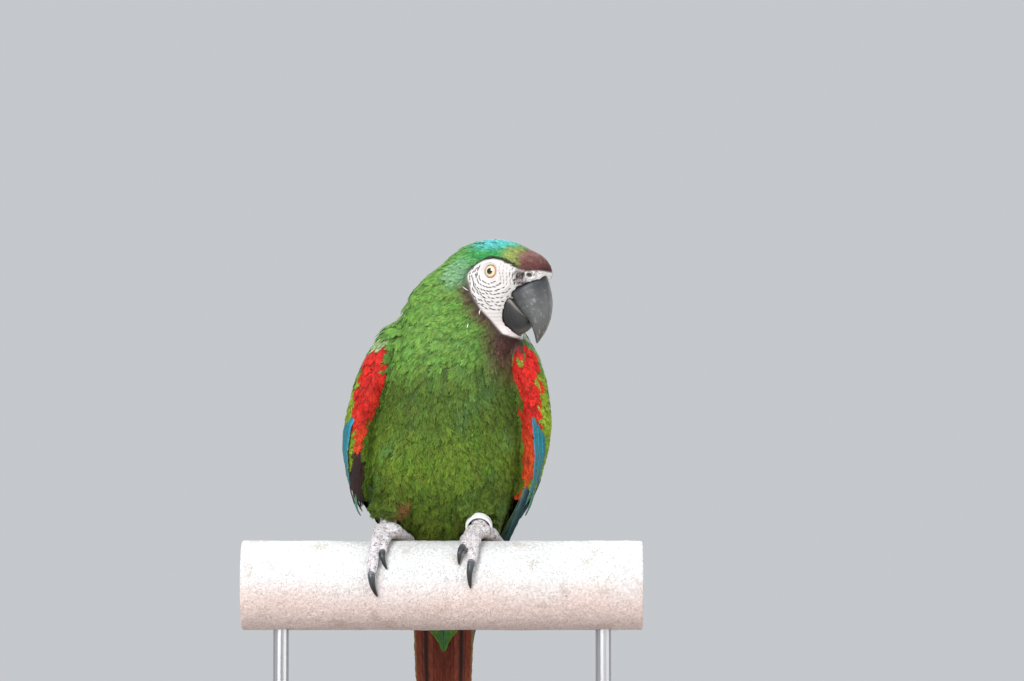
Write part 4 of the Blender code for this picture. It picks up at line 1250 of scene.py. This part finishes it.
def add_secondaries(bundle, sign, count=10):
    for number in range(count):
        inward = number / (count - 1)
        angles = (2 + 80 * inward, 30 + 52 * inward)
        tip = 4 + 30 * (1 - inward) ** 1.3 * rng.uniform(0.92, 1.08)
        sheet = lay_quill(sign, 96, tip, angles, (4.6, 5.6), 0.35 + 0.10 * number)
        blue = ease(0.35, 0.8, sheet[2][:, 0]) * (1 - 0.6 * inward)
        outer, inner = mix((0.07, 0.20, 0.03), (0.02, 0.17, 0.20), blue), (0.05, 0.13, 0.03)
        colours = quill_colour(sheet[2], outer, inner, (0.25, 0.36, 0.06), (0.075, 0.045, 0.026))
        bundle.add(sheet, 96 - tip, colours)


def add_blue_strip(bundle, sign):
    """The blue feathers below the red."""
    for number in range(3):
        root, tip = 124 - 5 * number, (66, 72, 80)[number] + (0 if sign > 0 else 12)
        left, right = (-102 + 15 * number, -74 + 11 * number), (-56 + 15 * number, -36 + 10 * number)
        angles, webs = (left, (1.1, 1.6)) if sign > 0 else (right, (1.3, 1.9))
        sheet = lay_quill(sign, root, tip, angles, webs, 1.5 - 0.2 * number, 44, (114, 127))
        along = ease(0.2, 0.9, sheet[2][:, 0])
        outer = mix((0.025, 0.27, 0.42), (0.06, 0.20, 0.22), along)
        inner = mix((0.03, 0.18, 0.20), (0.10, 0.20, 0.16), along)
        tones = (0.16, 0.40, 0.42), (0.04, 0.05, 0.05), (0.02, 0.09, 0.12)
        bundle.add(sheet, root - tip, quill_colour(sheet[2], outer, inner, *tones))


def add_edge_feathers(bundle, sign):
    """Narrow feathers inside the front edge: three dark blue on the left, twelve brown on the right."""
    for number in range(3 if sign > 0 else 12):
        if sign > 0:
            root, tip, angles, webs = 84, 30 - 14 * number, (-104 + 5 * number, -98), (1.7, 1.9)
            tones = (0.035, 0.10, 0.12), (0.02, 0.05, 0.055), (0.20, 0.28, 0.25)
        else:
            root, tip = 108 - 2 * number, rng.uniform(62, 80)
            angles, webs = (-104 + 7 * number, -92 + 7 * number + rng.normal(0, 4)), (0.9, 1.1)
            tones = (0.055, 0.030, 0.030), (0.030, 0.018, 0.020), (0.13, 0.09, 0.08)
        sheet = lay_quill(sign, root, tip, angles, webs, 0.4 + 0.08 * number, 40, (root - 14, root - 2))
        bundle.add(sheet, root - tip, quill_colour(sheet[2], *tones, (0.02, 0.015, 0.015)))


def add_greater_coverts(bundle, sign, count=11):
    for number in range(count):
        inward = number / (count - 1)
        angle, tip = -28 + 112 * inward, 58 - 8 * inward
        sheet = lay_quill(sign, 116, tip, (angle, angle + 3), (3.8, 4.2), 0.9 + 0.06 * number, 30)
        blue = ease(0.45, 0.15, inward) * ease(0.2, 0.6, sheet[2][:, 0])
        outer, inner = mix((0.10, 0.24, 0.03), (0.025, 0.22, 0.28), blue), (0.075, 0.19, 0.03)
        colours = quill_colour(sheet[2], outer, inner, (0.30, 0.42, 0.05), (0.06, 0.07, 0.02))
        bundle.add(sheet, 116 - tip, colours)


def make_quills():
    for side, sign in SIDES:
        bundle = Bundle()
        add_primaries(bundle, sign)
        bundle.make(f"primary_feathers_{side}", VANE, (f"primaries_{side}",))
        bundle = Bundle()
        for add in (add_secondaries, add_blue_strip, add_edge_feathers, add_greater_coverts):
            add(bundle, sign)
        bundle.make(f"secondary_feathers_{side}", VANE, (f"secondaries_{side}",))


# ---------------------------------------------------------------- tail

TAIL_LENGTH, TAIL_HALF_WIDTH, TAIL_PAIRS = 202, 17.5, 6
# Rows of the coverts: height, half width, and dorsal place of their outer surface
COVERT_ROWS = {
    "undertail": ((-34, 1.6, -8.4), (-22, 7, -10), (-12, 10, -11), (-2, 12, -11.5)),
    "uppertail": ((-55, 2.5, 5), (-38, 8, 6.2), (-16, 11.5, 7.5), (-2, 12.5, 8.5)),
}
COVERT_LAYERS, COVERT_WEB, SHORTEST_COVERT = 5, 6.2, 8
YELLOW_EDGE = (0.30, 0.36, 0.05)


def flat_quill(points, half, camber=0.5, up=1):
    """A vane along a line of the tail, with its upper face to the back (up = 1) or to the front (-1)."""
    centre = world(TAIL_FRAME, points)
    ahead = unit(np.gradient(centre, axis=0))
    normal = across_from(np.repeat(turned(TAIL_FRAME, [(0, up, 0)]), len(points), 0), ahead)
    return vane_sheet(centre, np.cross(normal, ahead), normal, half, [], camber)


def tail_colour(place, outward, pair):
    """Green to red-brown above, dark red below, with a near-black stripe of painted shade at the slits
    between the feathers. Outward is the distance from the tail's middle, over its half width."""
    along, across, face = place.T
    upper = mix((0.13, 0.035, 0.018), (0.06, 0.15, 0.03), 0.75 * ease(0.30, 0.05, along))
    upper = mix(upper, (0.02, 0.12, 0.16), ease(-0.35, -0.8, across) * 0.8 + 0.5 * ease(0.8, 1, along))
    # Painted shade: a near-black stripe on the undersides where the slits between the feathers fall
    band = np.exp(-(((outward - 0.60) / 0.085) ** 4))
    under = mix((0.23, 0.050, 0.026), (0.014, 0.008, 0.006), 0.95 * band)
    outermost = pair == TAIL_PAIRS - 1
    under = mix(under, (0.32, 0.22, 0.08), ease(0.94, 0.97, outward) * (0.9 if outermost else 0.3))
    colour = np.where((face == TOP)[:, None], upper, under)
    colour = mix(colour, (0.05, 0.02, 0.015), ease(0.10, 0.03, abs(across)) * 0.8)
    streak = 1 + 0.12 * np.sin(60 * along + 11 * across) + 0.12 * rng.normal(0, 1, len(along))
    return colour * streak[:, None]


def make_tail():
    bundle = Bundle()
    t = np.linspace(0, 1, 80)
    spread = TAIL_HALF_WIDTH * (1 - 0.34 * t**3)
    taper = np.sqrt(np.clip(1 - t**3.2, 0.0005, 1)) * ease(-0.1, 0.04, t)
    for pair in range(TAIL_PAIRS):
        length = TAIL_LENGTH * (1 - 0.085 * pair - 0.004 * pair**2)
        outer = spread * (0.50 + 0.50 * pair / (TAIL_PAIRS - 1)) * (1 - 0.45 * t * (pair == 0))
        middle = (outer - 0.264 * spread) * (1 - 0.55 * t**2 * (pair < 2))
        for _, sign in SIDES:
            depth = 1.2 - 1.2 * pair + 0.3 * (sign > 0) * (pair == 0)
            line = np.stack([sign * middle, depth + 0 * t, -(length - 1.4) * t], 1)
            sheet = flat_quill(line, (spread * taper)[:, None] * (0.27, 0.38)[::sign])
            along = sheet[2][:, 0]
            outward = abs(sign * np.interp(along, t, middle) - sheet[3]) / np.interp(along, t, spread)
            bundle.add(sheet, length, tail_colour(sheet[2] * (1, -sign, 1), outward, pair))
    nodes = [f"tail_feather_{side}_{pair}" for side, _ in SIDES for pair in range(1, 7)]
    bundle.make("tail_feathers", VANE, nodes)


def make_tail_coverts():
    for name, rows in COVERT_ROWS.items():
        front = -1 if name == "undertail" else 1
        bundle = Bundle()
        longest = -rows[0][0]
        t = np.linspace(0, 1, 34)
        for layer in range(COVERT_LAYERS):
            for number in range(-2, 3):
                reach = longest * (1 - 0.17 * layer - 0.13 * abs(number)) - 0.6
                if reach < SHORTEST_COVERT:
                    continue
                height = 3.5 - (3.5 + reach) * t
                width, outside = read_table(rows, height).T
                depth = outside * math.sqrt(1 - (number / 4) ** 2) - front * (0.25 * (4 - layer) + 0.2)
                rest = (2.6 if front > 0 else -5.6) + 0.25 * front * layer
                depth = depth + (rest - depth) * ease(0.15, 0.95, t)
                half = COVERT_WEB * quill_width(t, 3.2) * np.clip(width / 5, 0.8, 1)
                line = np.stack([0.31 * number * width, depth, height], 1)
                sheet = flat_quill(line, np.stack([half, half], 1), 0.6, front)
                across = abs(sheet[2][:, 1])
                blue = ease(0.4, 0.0, across) * (0.7 if front < 0 else 0.25)
                colour = mix((0.075, 0.20, 0.028), (0.03, 0.16, 0.12), blue)
                colour = mix(colour, YELLOW_EDGE, ease(0.86, 0.97, across) * 0.8)
                colour = mix(colour, (0.02, 0.04, 0.03), ease(0.10, 0.03, across) * 0.8)
                tones = 1 + 0.12 * rng.normal(0, 1, len(across))
                bundle.add(sheet, reach, colour * tones[:, None])
        bundle.make(f"{name}_feathers", VANE, (f"{name}_coverts",))


# ---------------------------------------------------------------- eyes, bill


LID_SKIN = (0.05, 0.03, 0.025)


def iris_colour(radius, angle):
    """Colour of an eyeball by the distance from the pupil's middle and the angle round it."""
    rays = 0.5 + 0.3 * np.sin(31 * angle + 3 * np.sin(3 * angle)) + 0.2 * np.sin(53 * angle)
    iris = mix((0.50, 0.43, 0.20), (0.74, 0.68, 0.42), ease(1.6, 2.5, radius) * 0.7 + 0.3 * rays)
    iris = mix(iris, (0.50, 0.17, 0.09), 0.85 * ease(2.75, 3.15, radius))
    iris = mix(iris, (0.32, 0.29, 0.17), 0.6 * ease(2.0, 1.75, radius))
    colour = mix(iris, (0.006, 0.005, 0.005), ease(1.80, 1.62, radius))
    return mix(colour, LID_SKIN, ease(3.45, 3.75, radius))


def make_eyes():
    for side, sign in SIDES:
        bm = bmesh.new()
        place = HEAD_FRAME @ eye_place(sign) @ Matrix.Rotation(math.pi / 2, 4, "Y")
        bmesh.ops.create_uvsphere(bm, u_segments=96, v_segments=96, radius=EYE_RADIUS * MM, matrix=place)
        mesh = mesh_of(bm, "eye")
        forward, up, out = head_view(points_of(mesh))
        up, ahead = up - EYE_UP, forward - EYE_FORWARD - 0.15
        colour = iris_colour(np.hypot(up, ahead), np.arctan2(up, ahead))
        set_colours(mesh, np.where((abs(out) < EYE_SIDE)[:, None], LID_SKIN, colour))
        piece(f"eyeball_{side}", mesh, EYE, (f"eye_{side}",))


# Rows of a bill's half from base to tip: its ridge and its edge, each forward and up, and half its width
UPPER_BILL = (
    (23, -6.5, 7, -12, 7.5),
    (28.4, -4.4, 11.5, -15, 10.4),
    (31.2, -11.5, 14.6, -20.4, 10.2),
    (32.5, -19.5, 18, -25.6, 9.0),
    (31.6, -28, 20.8, -29.6, 7.0),
    (28.8, -35.4, 22.0, -34.2, 4.8),
    (25.8, -39.8, 22.5, -38.4, 2.8),
    (23.0, -43.2, 22.3, -42.4, 0.7),
)
LOWER_BILL = (
    (-1, -31, 1, -17, 8.5),
    (4, -35.6, 5, -16.5, 11.4),
    (9, -37.6, 10.4, -17.6, 11.2),
    (14, -36.8, 14.8, -22.8, 9.6),
    (18, -33.8, 18, -26.8, 7.0),
    (20.4, -30.6, 20.2, -28.4, 4.6),
)
BILL_POINTS, FLOOR_POINTS = 45, 10  # round an arch, and across the floor under it


def bill_arch(row):
    """An arch from one edge over the ridge to the other, and how far down the side each point is."""
    ridge_forward, ridge_up, edge_forward, edge_up, width = row
    i = np.linspace(-1, 1, BILL_POINTS)
    down = abs(i) ** 1.6
    side = np.sign(i) * (1 - (1 - down) ** 2.4) ** 0.62 * width
    forward = ridge_forward + (edge_forward - ridge_forward) * down
    up = ridge_up + (edge_up - ridge_up) * down
    return np.stack([side, -forward, up], 1), down


def make_bill(name, table, colour_of, nodes):
    """A half of the bill in horn: arches with a flat floor, growth lines and flakes."""
    rows = smooth_rows(table, 9)
    arches, downs = (np.array(part) for part in zip(*map(bill_arch, rows)))
    fill = np.linspace(0, 1, FLOOR_POINTS + 2)[1:-1][None, :, None]
    floor = arches[:, -1:] * (1 - fill) + arches[:, :1] * fill
    rings = np.concatenate([arches, floor], 1)
    down = np.concatenate([downs, np.ones(floor.shape[:2])], 1)
    along = np.repeat(np.linspace(0, 1, len(rows))[:, None], rings.shape[1], 1)
    points = world(HEAD_FRAME, rings.reshape(-1, 3))
    growth = 0.05 * np.sin(80 * along + 6 * down + 3 * np.sin(9 * along))
    growth *= ease(0.04, 0.15, along) * ease(1.0, 0.8, down)
    flakes = noise_at(points, 1.5, 3) * 0.10 + noise_at(points, 0.6, 4) * 0.05
    outward = unit(rings - rings.mean(1, keepdims=True))
    rings = rings + outward * (growth + flakes.reshape(down.shape) - 0.10)[..., None]
    mesh = loft(name, world(HEAD_FRAME, rings.reshape(-1, 3)).reshape(rings.shape))
    near = local(HEAD_FRAME, points_of(mesh))
    set_colours(mesh, colour_of(along.ravel(), down.ravel(), near))
    across = np.concatenate([np.linspace(-1, 1, BILL_POINTS), np.linspace(1, 1.5, FLOOR_POINTS)])
    set_vectors(mesh, "Grow", np.stack([along.ravel(), np.tile(across, len(rows)), 0 * down.ravel()], 1))
    piece(name, mesh, HORN, nodes)


def upper_colour(along, down, near):
    colour = mix((0.013, 0.016, 0.021), (0.092, 0.092, 0.091), ease(0.12, 0.55, along))
    colour = mix(colour, (0.070, 0.060, 0.050), ease(0.5, 0.95, along))
    # Painted highlight: a pale line along the ridge of the upper bill
    colour = mix(colour, (0.24, 0.23, 0.21), 0.5 * ease(0.030, 0.0, down) * ease(0.1, 0.35, along))
    scuffs = ease(0.50, 0.66, noise_at(near * MM * (1, 0.45, 0.30), 0.5, 31)) * ease(0.15, 0.4, along)
    colour = mix(colour, (0.30, 0.30, 0.30), 0.55 * scuffs)
    streaks = ease(0.30, 0.55, noise_at(near * MM * (0.5, 1, 0.22), 0.9, 33))
    colour = mix(colour, (0.24, 0.25, 0.26), 0.40 * streaks * ease(0.12, 0.35, along))
    return mix(colour, (0.028, 0.027, 0.027), 0.7 * ease(0.62, 0.98, down))


def lower_colour(along, down, _):
    colour = mix((0.017, 0.016, 0.017), (0.030, 0.029, 0.028), ease(0.4, 1.0, along))
    colour = mix(colour, (0.20, 0.185, 0.16), 0.8 * ease(0.86, 0.97, down) * ease(0.25, 0.45, along))
    return mix(colour, (0.13, 0.12, 0.11), 0.6 * ease(0.25, 0.0, down) * ease(0.2, 0.5, along))


# ---------------------------------------------------------------- feet, claws, band

FOOT_X = {"left": 21.3, "right": -31.5}
HEEL, SOLE, PALM, SHANK_RADIUS = (24, 21), (-1, 6.6), (-2.2, 5.4), 4.6  # places to the back and up
PALM_RADII = {"left": (7.4, 6.4, 4.8), "right": (8.8, 7.0, 5.2)}
# Each toe: its root, its end and its claw's tip, each as side place and degrees round the perch to the
# front, then its radius at the root and at the claw
TOES = {
    "left": {
        "1": ((18, -4), (10, -46), (8, -68), 3.4, 2.4),
        "2": ((18, 2), (12.6, 45), (10, 66), 3.3, 2.2),
        "3": ((21, 4), (17.4, 66), (16.6, 96), 3.9, 2.6),
        "4": ((25, -2), (37, -66), (36, -98), 3.8, 2.6),
    },
    "right": {
        "1": ((-28, -2), (-15, -44), (-13, -66), 3.4, 2.4),
        "2": ((-30, 3), (-34.0, 53), (-31.4, 72), 3.3, 2.2),
        "3": ((-34, 2), (-40.2, 80), (-36.8, 106), 3.9, 2.6),
        "4": ((-34, -3), (-42, -70), (-40, -102), 3.8, 2.6),
    },
}
BAND_RADIUS, BAND_WALL, BAND_HEIGHT = 7.8, 1.3, 4.8
BAND_TILT, BAND_PLACE = math.radians(57), (21.1, 2.8, 8.3)
SCALE_SIZE, DARK_SCALES = 1.2, 0.11  # width of a scale, and the share of dark ones
FRONT, BACKWARD = -60.0, Vector((0, 1, 0))  # where rays on to the leg start, and their way
BELLY_LOW = 23  # height of the belly's lowest part over the leg
CLAW_SIDES = 24


def on_perch(x, degrees, height):
    """Points this far off the perch's surface, round from its top line."""
    angle = np.radians(degrees)
    reach = PERCH_RADIUS + height
    return np.stack([x + 0 * angle, -reach * np.sin(angle), reach * np.cos(angle) - PERCH_RADIUS], -1)


def tube_rings(points, radii, sides):
    """Round rings along a line, in the perch's frame (mm)."""
    along = unit(np.gradient(points, axis=0))
    across = across_from(np.array([(1.0, 0, 0)] * len(points)), along)
    other = np.cross(along, across)
    a = np.linspace(0, 2 * math.pi, sides, endpoint=False)[None, :, None]
    around = np.cos(a) * across[:, None] + np.sin(a) * other[:, None]
    return points[:, None] + radii[:, None, None] * around


def placed_rings(rings):
    return world(PERCH_FRAME, rings.reshape(-1, 3)).reshape(rings.shape)


def foot_bodies(side):
    """Shank and toes as tubes that run into each other."""
    t = np.linspace(0, 1, 15)
    shank = SHANK_RADIUS * (1.02 + 0.08 * (2 * t - 1) ** 2)
    line = mix((FOOT_X[side], *HEEL), (FOOT_X[side], *SOLE), t)
    tubes = [tube_rings(line, shank, 24)]
    t = np.linspace(0, 1, 33)
    for root, end, _, thick, thin in TOES[side].values():
        radius = (thick + (thin - thick) * t) * (1 + 0.12 * np.sin(3 * math.pi * t) ** 2)
        x = root[0] + (end[0] - root[0]) * t**0.7
        line = on_perch(x, root[1] + (end[1] - root[1]) * t, radius + 0.4)
        tubes.append(tube_rings(line, radius * ease(-0.02, 0.01, t), 20))
    return [loft("tube", placed_rings(rings)) for rings in tubes]


def scales(points):
    """Round scales: the nearest one's number for each point, their count, and the dome over each."""
    cells, chosen = set(), []
    for seed in points[rng.permutation(len(points))].tolist():
        key = tuple(int(v // (SCALE_SIZE * MM)) for v in seed)
        if key not in cells:
            cells.add(key)
            chosen.append(seed)
    tree = KDTree(len(chosen))
    for index, seed in enumerate(chosen):
        tree.insert(seed, index)
    tree.balance()
    near = [tree.find_n(p, 2) for p in points.tolist()]
    crack = np.array([second[2] - first[2] for first, second in near]) / MM
    return np.array([first[1] for first, _ in near]), len(chosen), ease(0, 0.42, crack)


def make_foot(side):
    bm = joined(foot_bodies(side))
    palm = Matrix.Translation(Vector((FOOT_X[side], *PALM)) * MM)
    place = PERCH_FRAME @ palm @ Matrix.Diagonal((*PALM_RADII[side], 1))
    bmesh.ops.create_uvsphere(bm, u_segments=32, v_segments=20, radius=MM, matrix=place)
    mesh = blended(bm, 0.42, 4)
    points, normals = points_of(mesh), normals_of(mesh)
    which, count, dome = scales(points)
    points = points + normals * ((0.16 * dome + 0.12 * noise_at(points, 2.6, 12) - 0.12) * MM)[:, None]
    move_points(mesh, points)
    tone = 1 + 0.10 * rng.normal(0, 1, count)[which]
    colour = mix((0.80, 0.76, 0.78), (0.62, 0.50, 0.38), 0.6 * ease(-0.2, -0.8, normals[:, 2]))
    colour = mix((0.25, 0.215, 0.22), colour, 0.15 + 0.85 * dome) * tone[:, None]
    dark = (rng.random(count) < DARK_SCALES)[which] * dome * 0.85
    set_colours(mesh, mix(colour, (0.07, 0.06, 0.06), dark))
    piece(f"scaly_foot_{side}", mesh, SCALY, (f"foot_{side}",))


def leg_curtain(side, low):
    """The sheet that a leg's feathers lie on, from the belly down in front of the shank to below low."""
    wide, heights = np.linspace(-11, 11, 23), np.linspace(low + 20, low - 6, 27)
    slope = (HEEL[0] - SOLE[0]) / (HEEL[1] - SOLE[1])
    rows = []
    for up in heights:
        leg_front = SOLE[0] + slope * (up - SOLE[1]) - SHANK_RADIUS * math.hypot(1, slope) - 1.8
        depths = []
        for aside in wide:
            start = PERCH_FRAME @ (Vector((FOOT_X[side] + aside, FRONT, max(up, BELLY_LOW))) * MM)
            hit = SKIN_SURFACE.tree.ray_cast(start, BACKWARD)[0]
            depths.append((hit - PERCH_POINT).y / MM if hit else 10)
        for aside, back in zip(wide, depths):
            back = min(back, min(depths) + 5) - 0.7 + 0.25 * max(0, BELLY_LOW - up)
            rows.append((FOOT_X[side] + aside, min(back, leg_front), up))
    faces = grid_faces(len(heights), len(wide))
    surface = Surface(array_mesh("curtain", world(PERCH_FRAME, rows), faces))
    surface.normals *= -np.sign(surface.normals[:, 1].mean())
    return surface


def make_leg_tufts(side, count=130):
    """Loose feathers that hang from the belly over the leg, to the foot or, on the left, to the band."""
    low = {"left": 15.5, "right": 10.5}[side]
    surface = leg_curtain(side, low)
    aside = FOOT_X[side] + np.sign(FOOT_X[side]) * rng.uniform(-9.5, 7.2, count)
    starts = np.stack([aside, np.full(count, FRONT), np.sort(rng.uniform(low + 8, low + 18, count))], 1)
    rays = world(PERCH_FRAME, starts)
    roots = np.array([surface.tree.ray_cast(Vector(start), BACKWARD)[0] for start in rays])
    length = rng.uniform(9.5, 12.0, count) + 2.5 * (side == "right")
    style = (length, rng.uniform(1.9, 2.5, count), rng.uniform(0.2, 1.2, count), np.full(count, 1.3))
    course = np.array([(0, 0, -1.0)] * count) + rng.normal(0, 0.10, (count, 3))
    points, faces, vane, shade, _, centre = lay_vanes(surface, roots, course, style, 22)
    spots = centre[:, shade.shape[1] // 2]
    near = local(PERCH_FRAME, spots)
    rusty = ease(2, 6, (near[:, 0] - FOOT_X[side]) * (side == "right")) * ease(24, 19, near[:, 2])
    base = plumage(spots, np.full(count, False), np.zeros(count))
    base = mix(base, (0.16, 0.055, 0.020), 0.75 * rusty)
    colours = (base[:, None] * shade[..., None]).reshape(-1, 3)
    finish_coat(f"coat_leg_{side}", points, faces, vane, colours, roots, False, (2.5, 12))


def make_claws(side):
    for toe, (_, root, tip, _, thick) in TOES[side].items():
        t = np.linspace(0, 1, 26)
        along = np.repeat(t, CLAW_SIDES)
        radius = thick * 0.80 * (1 - t) ** 0.62 * ease(-0.08, 0.10, t) + 0.30
        lift = 1.9 * np.sin(math.pi * np.minimum(1, t * 1.1 + 0.1)) + 0.2
        x = root[0] + (tip[0] - root[0]) * t - 1.0 * np.sin(math.pi * t)
        line = on_perch(x, root[1] - 3 + (tip[1] - root[1] + 3) * t, radius + lift + 0.4)
        rings = tube_rings(line, radius * (1 + 0.03 * np.sin(60 * t) * (1 - t)), CLAW_SIDES)
        mesh = loft(f"horn_claw_{side}_{toe}", placed_rings(rings))
        band = 0.5 + 0.5 * np.sin(70 * along)
        colour = mix((0.034, 0.037, 0.042), (0.016, 0.012, 0.011), ease(0.3, 0.8, along))
        # Blue-grey growth bands near the base, which also paint the horn's blue-grey sheen there
        colour = mix(colour, (0.26, 0.27, 0.29), 0.7 * band * ease(0.30, 0.05, along))
        set_colours(mesh, colour)
        around = np.tile(np.linspace(0, 1, CLAW_SIDES), len(t))
        set_vectors(mesh, "Grow", np.stack([along, around, 0 * along], 1))
        piece(f"horn_claw_{side}_{toe}", mesh, CLAW, (f"claw_{side}_{toe}",))


def make_band():
    """A closed ring with a rounded section round the left leg."""
    soft, corners = 0.35, []
    outer, inner, top = -soft, soft - BAND_WALL, BAND_HEIGHT / 2 - soft
    for x, z, start in ((outer, top, 90), (outer, -top, 0), (inner, -top, -90), (inner, top, -180)):
        for step in range(5):
            angle = math.radians(start - 22.5 * step)
            corners.append((x + soft * math.cos(angle), z + soft * math.sin(angle)))
    corners = np.array(corners)
    a = np.linspace(0, 2 * math.pi, 97)[:-1][:, None]
    reach = BAND_RADIUS + corners[:, 0][None] + 0.05 * np.sin(3 * a + 1)
    rings = np.stack([reach * np.cos(a), reach * np.sin(a), corners[:, 1][None] + 0 * a], -1)
    place = Matrix.Translation(Vector(BAND_PLACE) * MM) @ Matrix.Rotation(-BAND_TILT, 4, "X")
    points = world(PERCH_FRAME @ place, rings.reshape(-1, 3))
    faces = grid_faces(97, len(corners), closed=True) % len(points)
    mesh = array_mesh("closed_band", points, faces)
    piece("closed_band", mesh, BAND, ("leg_band",))


# ---------------------------------------------------------------- perch and stand


PERCH_RINGS = 380
# Rings at an end: distance from its face, and how much smaller than the bar they are
PERCH_END = (
    (0, 0.97 * PERCH_RADIUS),
    (0, 0.5 * PERCH_RADIUS),
    (0, 1.5),
    (0.12, 0.8),
    (0.45, 0.3),
    (1.0, 0.05),
)


def make_perch():
    """The cement bar with rounded ends, rough and pitted all over."""
    low, high = PERCH_LOW.x / MM + 0.25, PERCH_HIGH.x / MM - 0.25
    ends, insets = np.array(PERCH_END).T
    x = np.concatenate([low + ends, np.linspace(low + 2, high - 2, PERCH_RINGS), high - ends[::-1]])
    inset = np.concatenate([insets, np.zeros(PERCH_RINGS), insets[::-1]])
    a = np.linspace(0, 2 * math.pi, 241)[:-1]
    radius = PERCH_RADIUS - 0.30 - inset[:, None]
    rings = np.stack([x[:, None] + 0 * a, radius * np.sin(a), radius * np.cos(a) - PERCH_RADIUS], -1)
    out = np.stack([0 * a, np.sin(a), np.cos(a)], -1)[None]
    points = world(PERCH_FRAME, rings.reshape(-1, 3))
    rough = 0.22 * noise_at(points, 3.2, 21) + 0.14 * noise_at(points, 1.2, 22)
    rough += 0.35 * noise_at(points, 26, 23)
    pits = np.clip(noise_at(points, 2.2, 24) - 0.45, 0, 1) * -1.6
    height = np.clip(rough + pits, -0.8, 0.30).reshape(len(x), -1)
    rings = rings + out * height[..., None]
    mesh = loft("cement_bar", placed_rings(rings))
    points = points_of(mesh)
    near = local(PERCH_FRAME, points)
    upward = (near[:, 2] + PERCH_RADIUS) / PERCH_RADIUS
    wear = noise_at(points, 30, 25)
    colour = mix((0.93, 0.74, 0.68), (0.88, 0.88, 0.88), ease(-0.55, 0.35, upward + 0.25 * wear))
    colour = mix(colour, (0.52, 0.40, 0.27), 0.30 * ease(0.25, 0.7, noise_at(points, 9, 26)))
    set_colours(mesh, colour)
    piece("cement_bar", mesh, CEMENT, ("perch",))


def finish_stand():
    """The plain wooden base and the rods are the CAD solids themselves with their own materials."""
    for name, finish in (("stand_base", WOOD), ("stand_rod_left", STEEL), ("stand_rod_right", STEEL)):
        for slot in frame["nodes"][name].material_slots:
            slot.material = finish


# ---------------------------------------------------------------- making the model

PLUMAGE = make_plumage("plumage", 0.62, 0.55, 0.5)
VANE = make_plumage("long_vanes", 0.5, 0.8, 0.7)
SKIN = make_skin_finish()
HORN, CLAW = make_horn("bill_horn", 0.42), make_horn("claw_horn", 0.28)
SCALY, EYE, CEMENT, WOOD = make_scaly(), make_eye_finish(), make_cement(), make_wood()
BAND = make_metal("white_band", (0.86, 0.86, 0.85), 0.38, (300, 300, 300), 0.0)
STEEL = make_metal("brushed_steel", (0.56, 0.56, 0.57), 0.30, (900, 900, 8))

WING_GUIDE, BODY_GUIDE = node_surface(WINGS), node_surface(BODY)
SKIN_SURFACE = Surface(make_skin().data)
make_coat()
make_face_lines()
make_quills()
make_tail()
make_tail_coverts()
make_eyes()
make_bill("upper_horn", UPPER_BILL, upper_colour, ("upper_bill",))
make_bill("lower_horn", LOWER_BILL, lower_colour, ("lower_bill",))
for side, _ in SIDES:
    make_foot(side)
    make_leg_tufts(side)
    make_claws(side)
make_band()
make_perch()
finish_stand()


# ---------------------------------------------------------------- camera, light and floor


def make_studio():
    data = bpy.data.cameras.new("camera")
    data.sensor_width = SENSOR
    data.lens = SENSOR * VIEW_DISTANCE / VIEW_WIDTH
    data.clip_start = 0.05
    camera = add_object("camera", data)
    ahead = Vector((0, math.cos(VIEW_RISE), math.sin(VIEW_RISE)))
    turn = ahead.to_track_quat("-Z", "Y").to_matrix().to_4x4()
    camera.matrix_world = Matrix.Translation(VIEW_TARGET - VIEW_DISTANCE * ahead) @ turn
    bpy.context.scene.camera = camera

    bm = bmesh.new()
    bmesh.ops.create_circle(bm, cap_ends=True, segments=96, radius=FLOOR_RADIUS)
    floor = add_object("floor", mesh_of(bm, "floor"))
    floor.data.materials.append(make_floor_finish())

    sky = bpy.data.worlds.new("studio")
    sky.use_nodes = True
    sky.node_tree.nodes["Background"].inputs["Color"].default_value = (0.93, 0.96, 1.0, 1)
    sky.node_tree.nodes["Background"].inputs["Strength"].default_value = 0.60
    bpy.context.scene.world = sky
    for name, place, size, power in (
        ("key", (-0.9, -2.1, 1.3), 1.1, 58),
        ("fill", (1.9, -1.6, 0.7), 1.8, 20),
        ("top", (0.1, 0.0, 2.4), 1.4, 24),
        ("back", (0.8, 2.0, 1.6), 1.4, 20),
    ):
        lamp = bpy.data.lights.new(name, "AREA")
        lamp.size, lamp.energy = size, power
        light = add_object(name, lamp)
        light.location = place
        light.rotation_euler = (VIEW_TARGET - light.location).to_track_quat("-Z", "Y").to_euler()
    bpy.context.scene.view_settings.view_transform = "Standard"


make_studio()
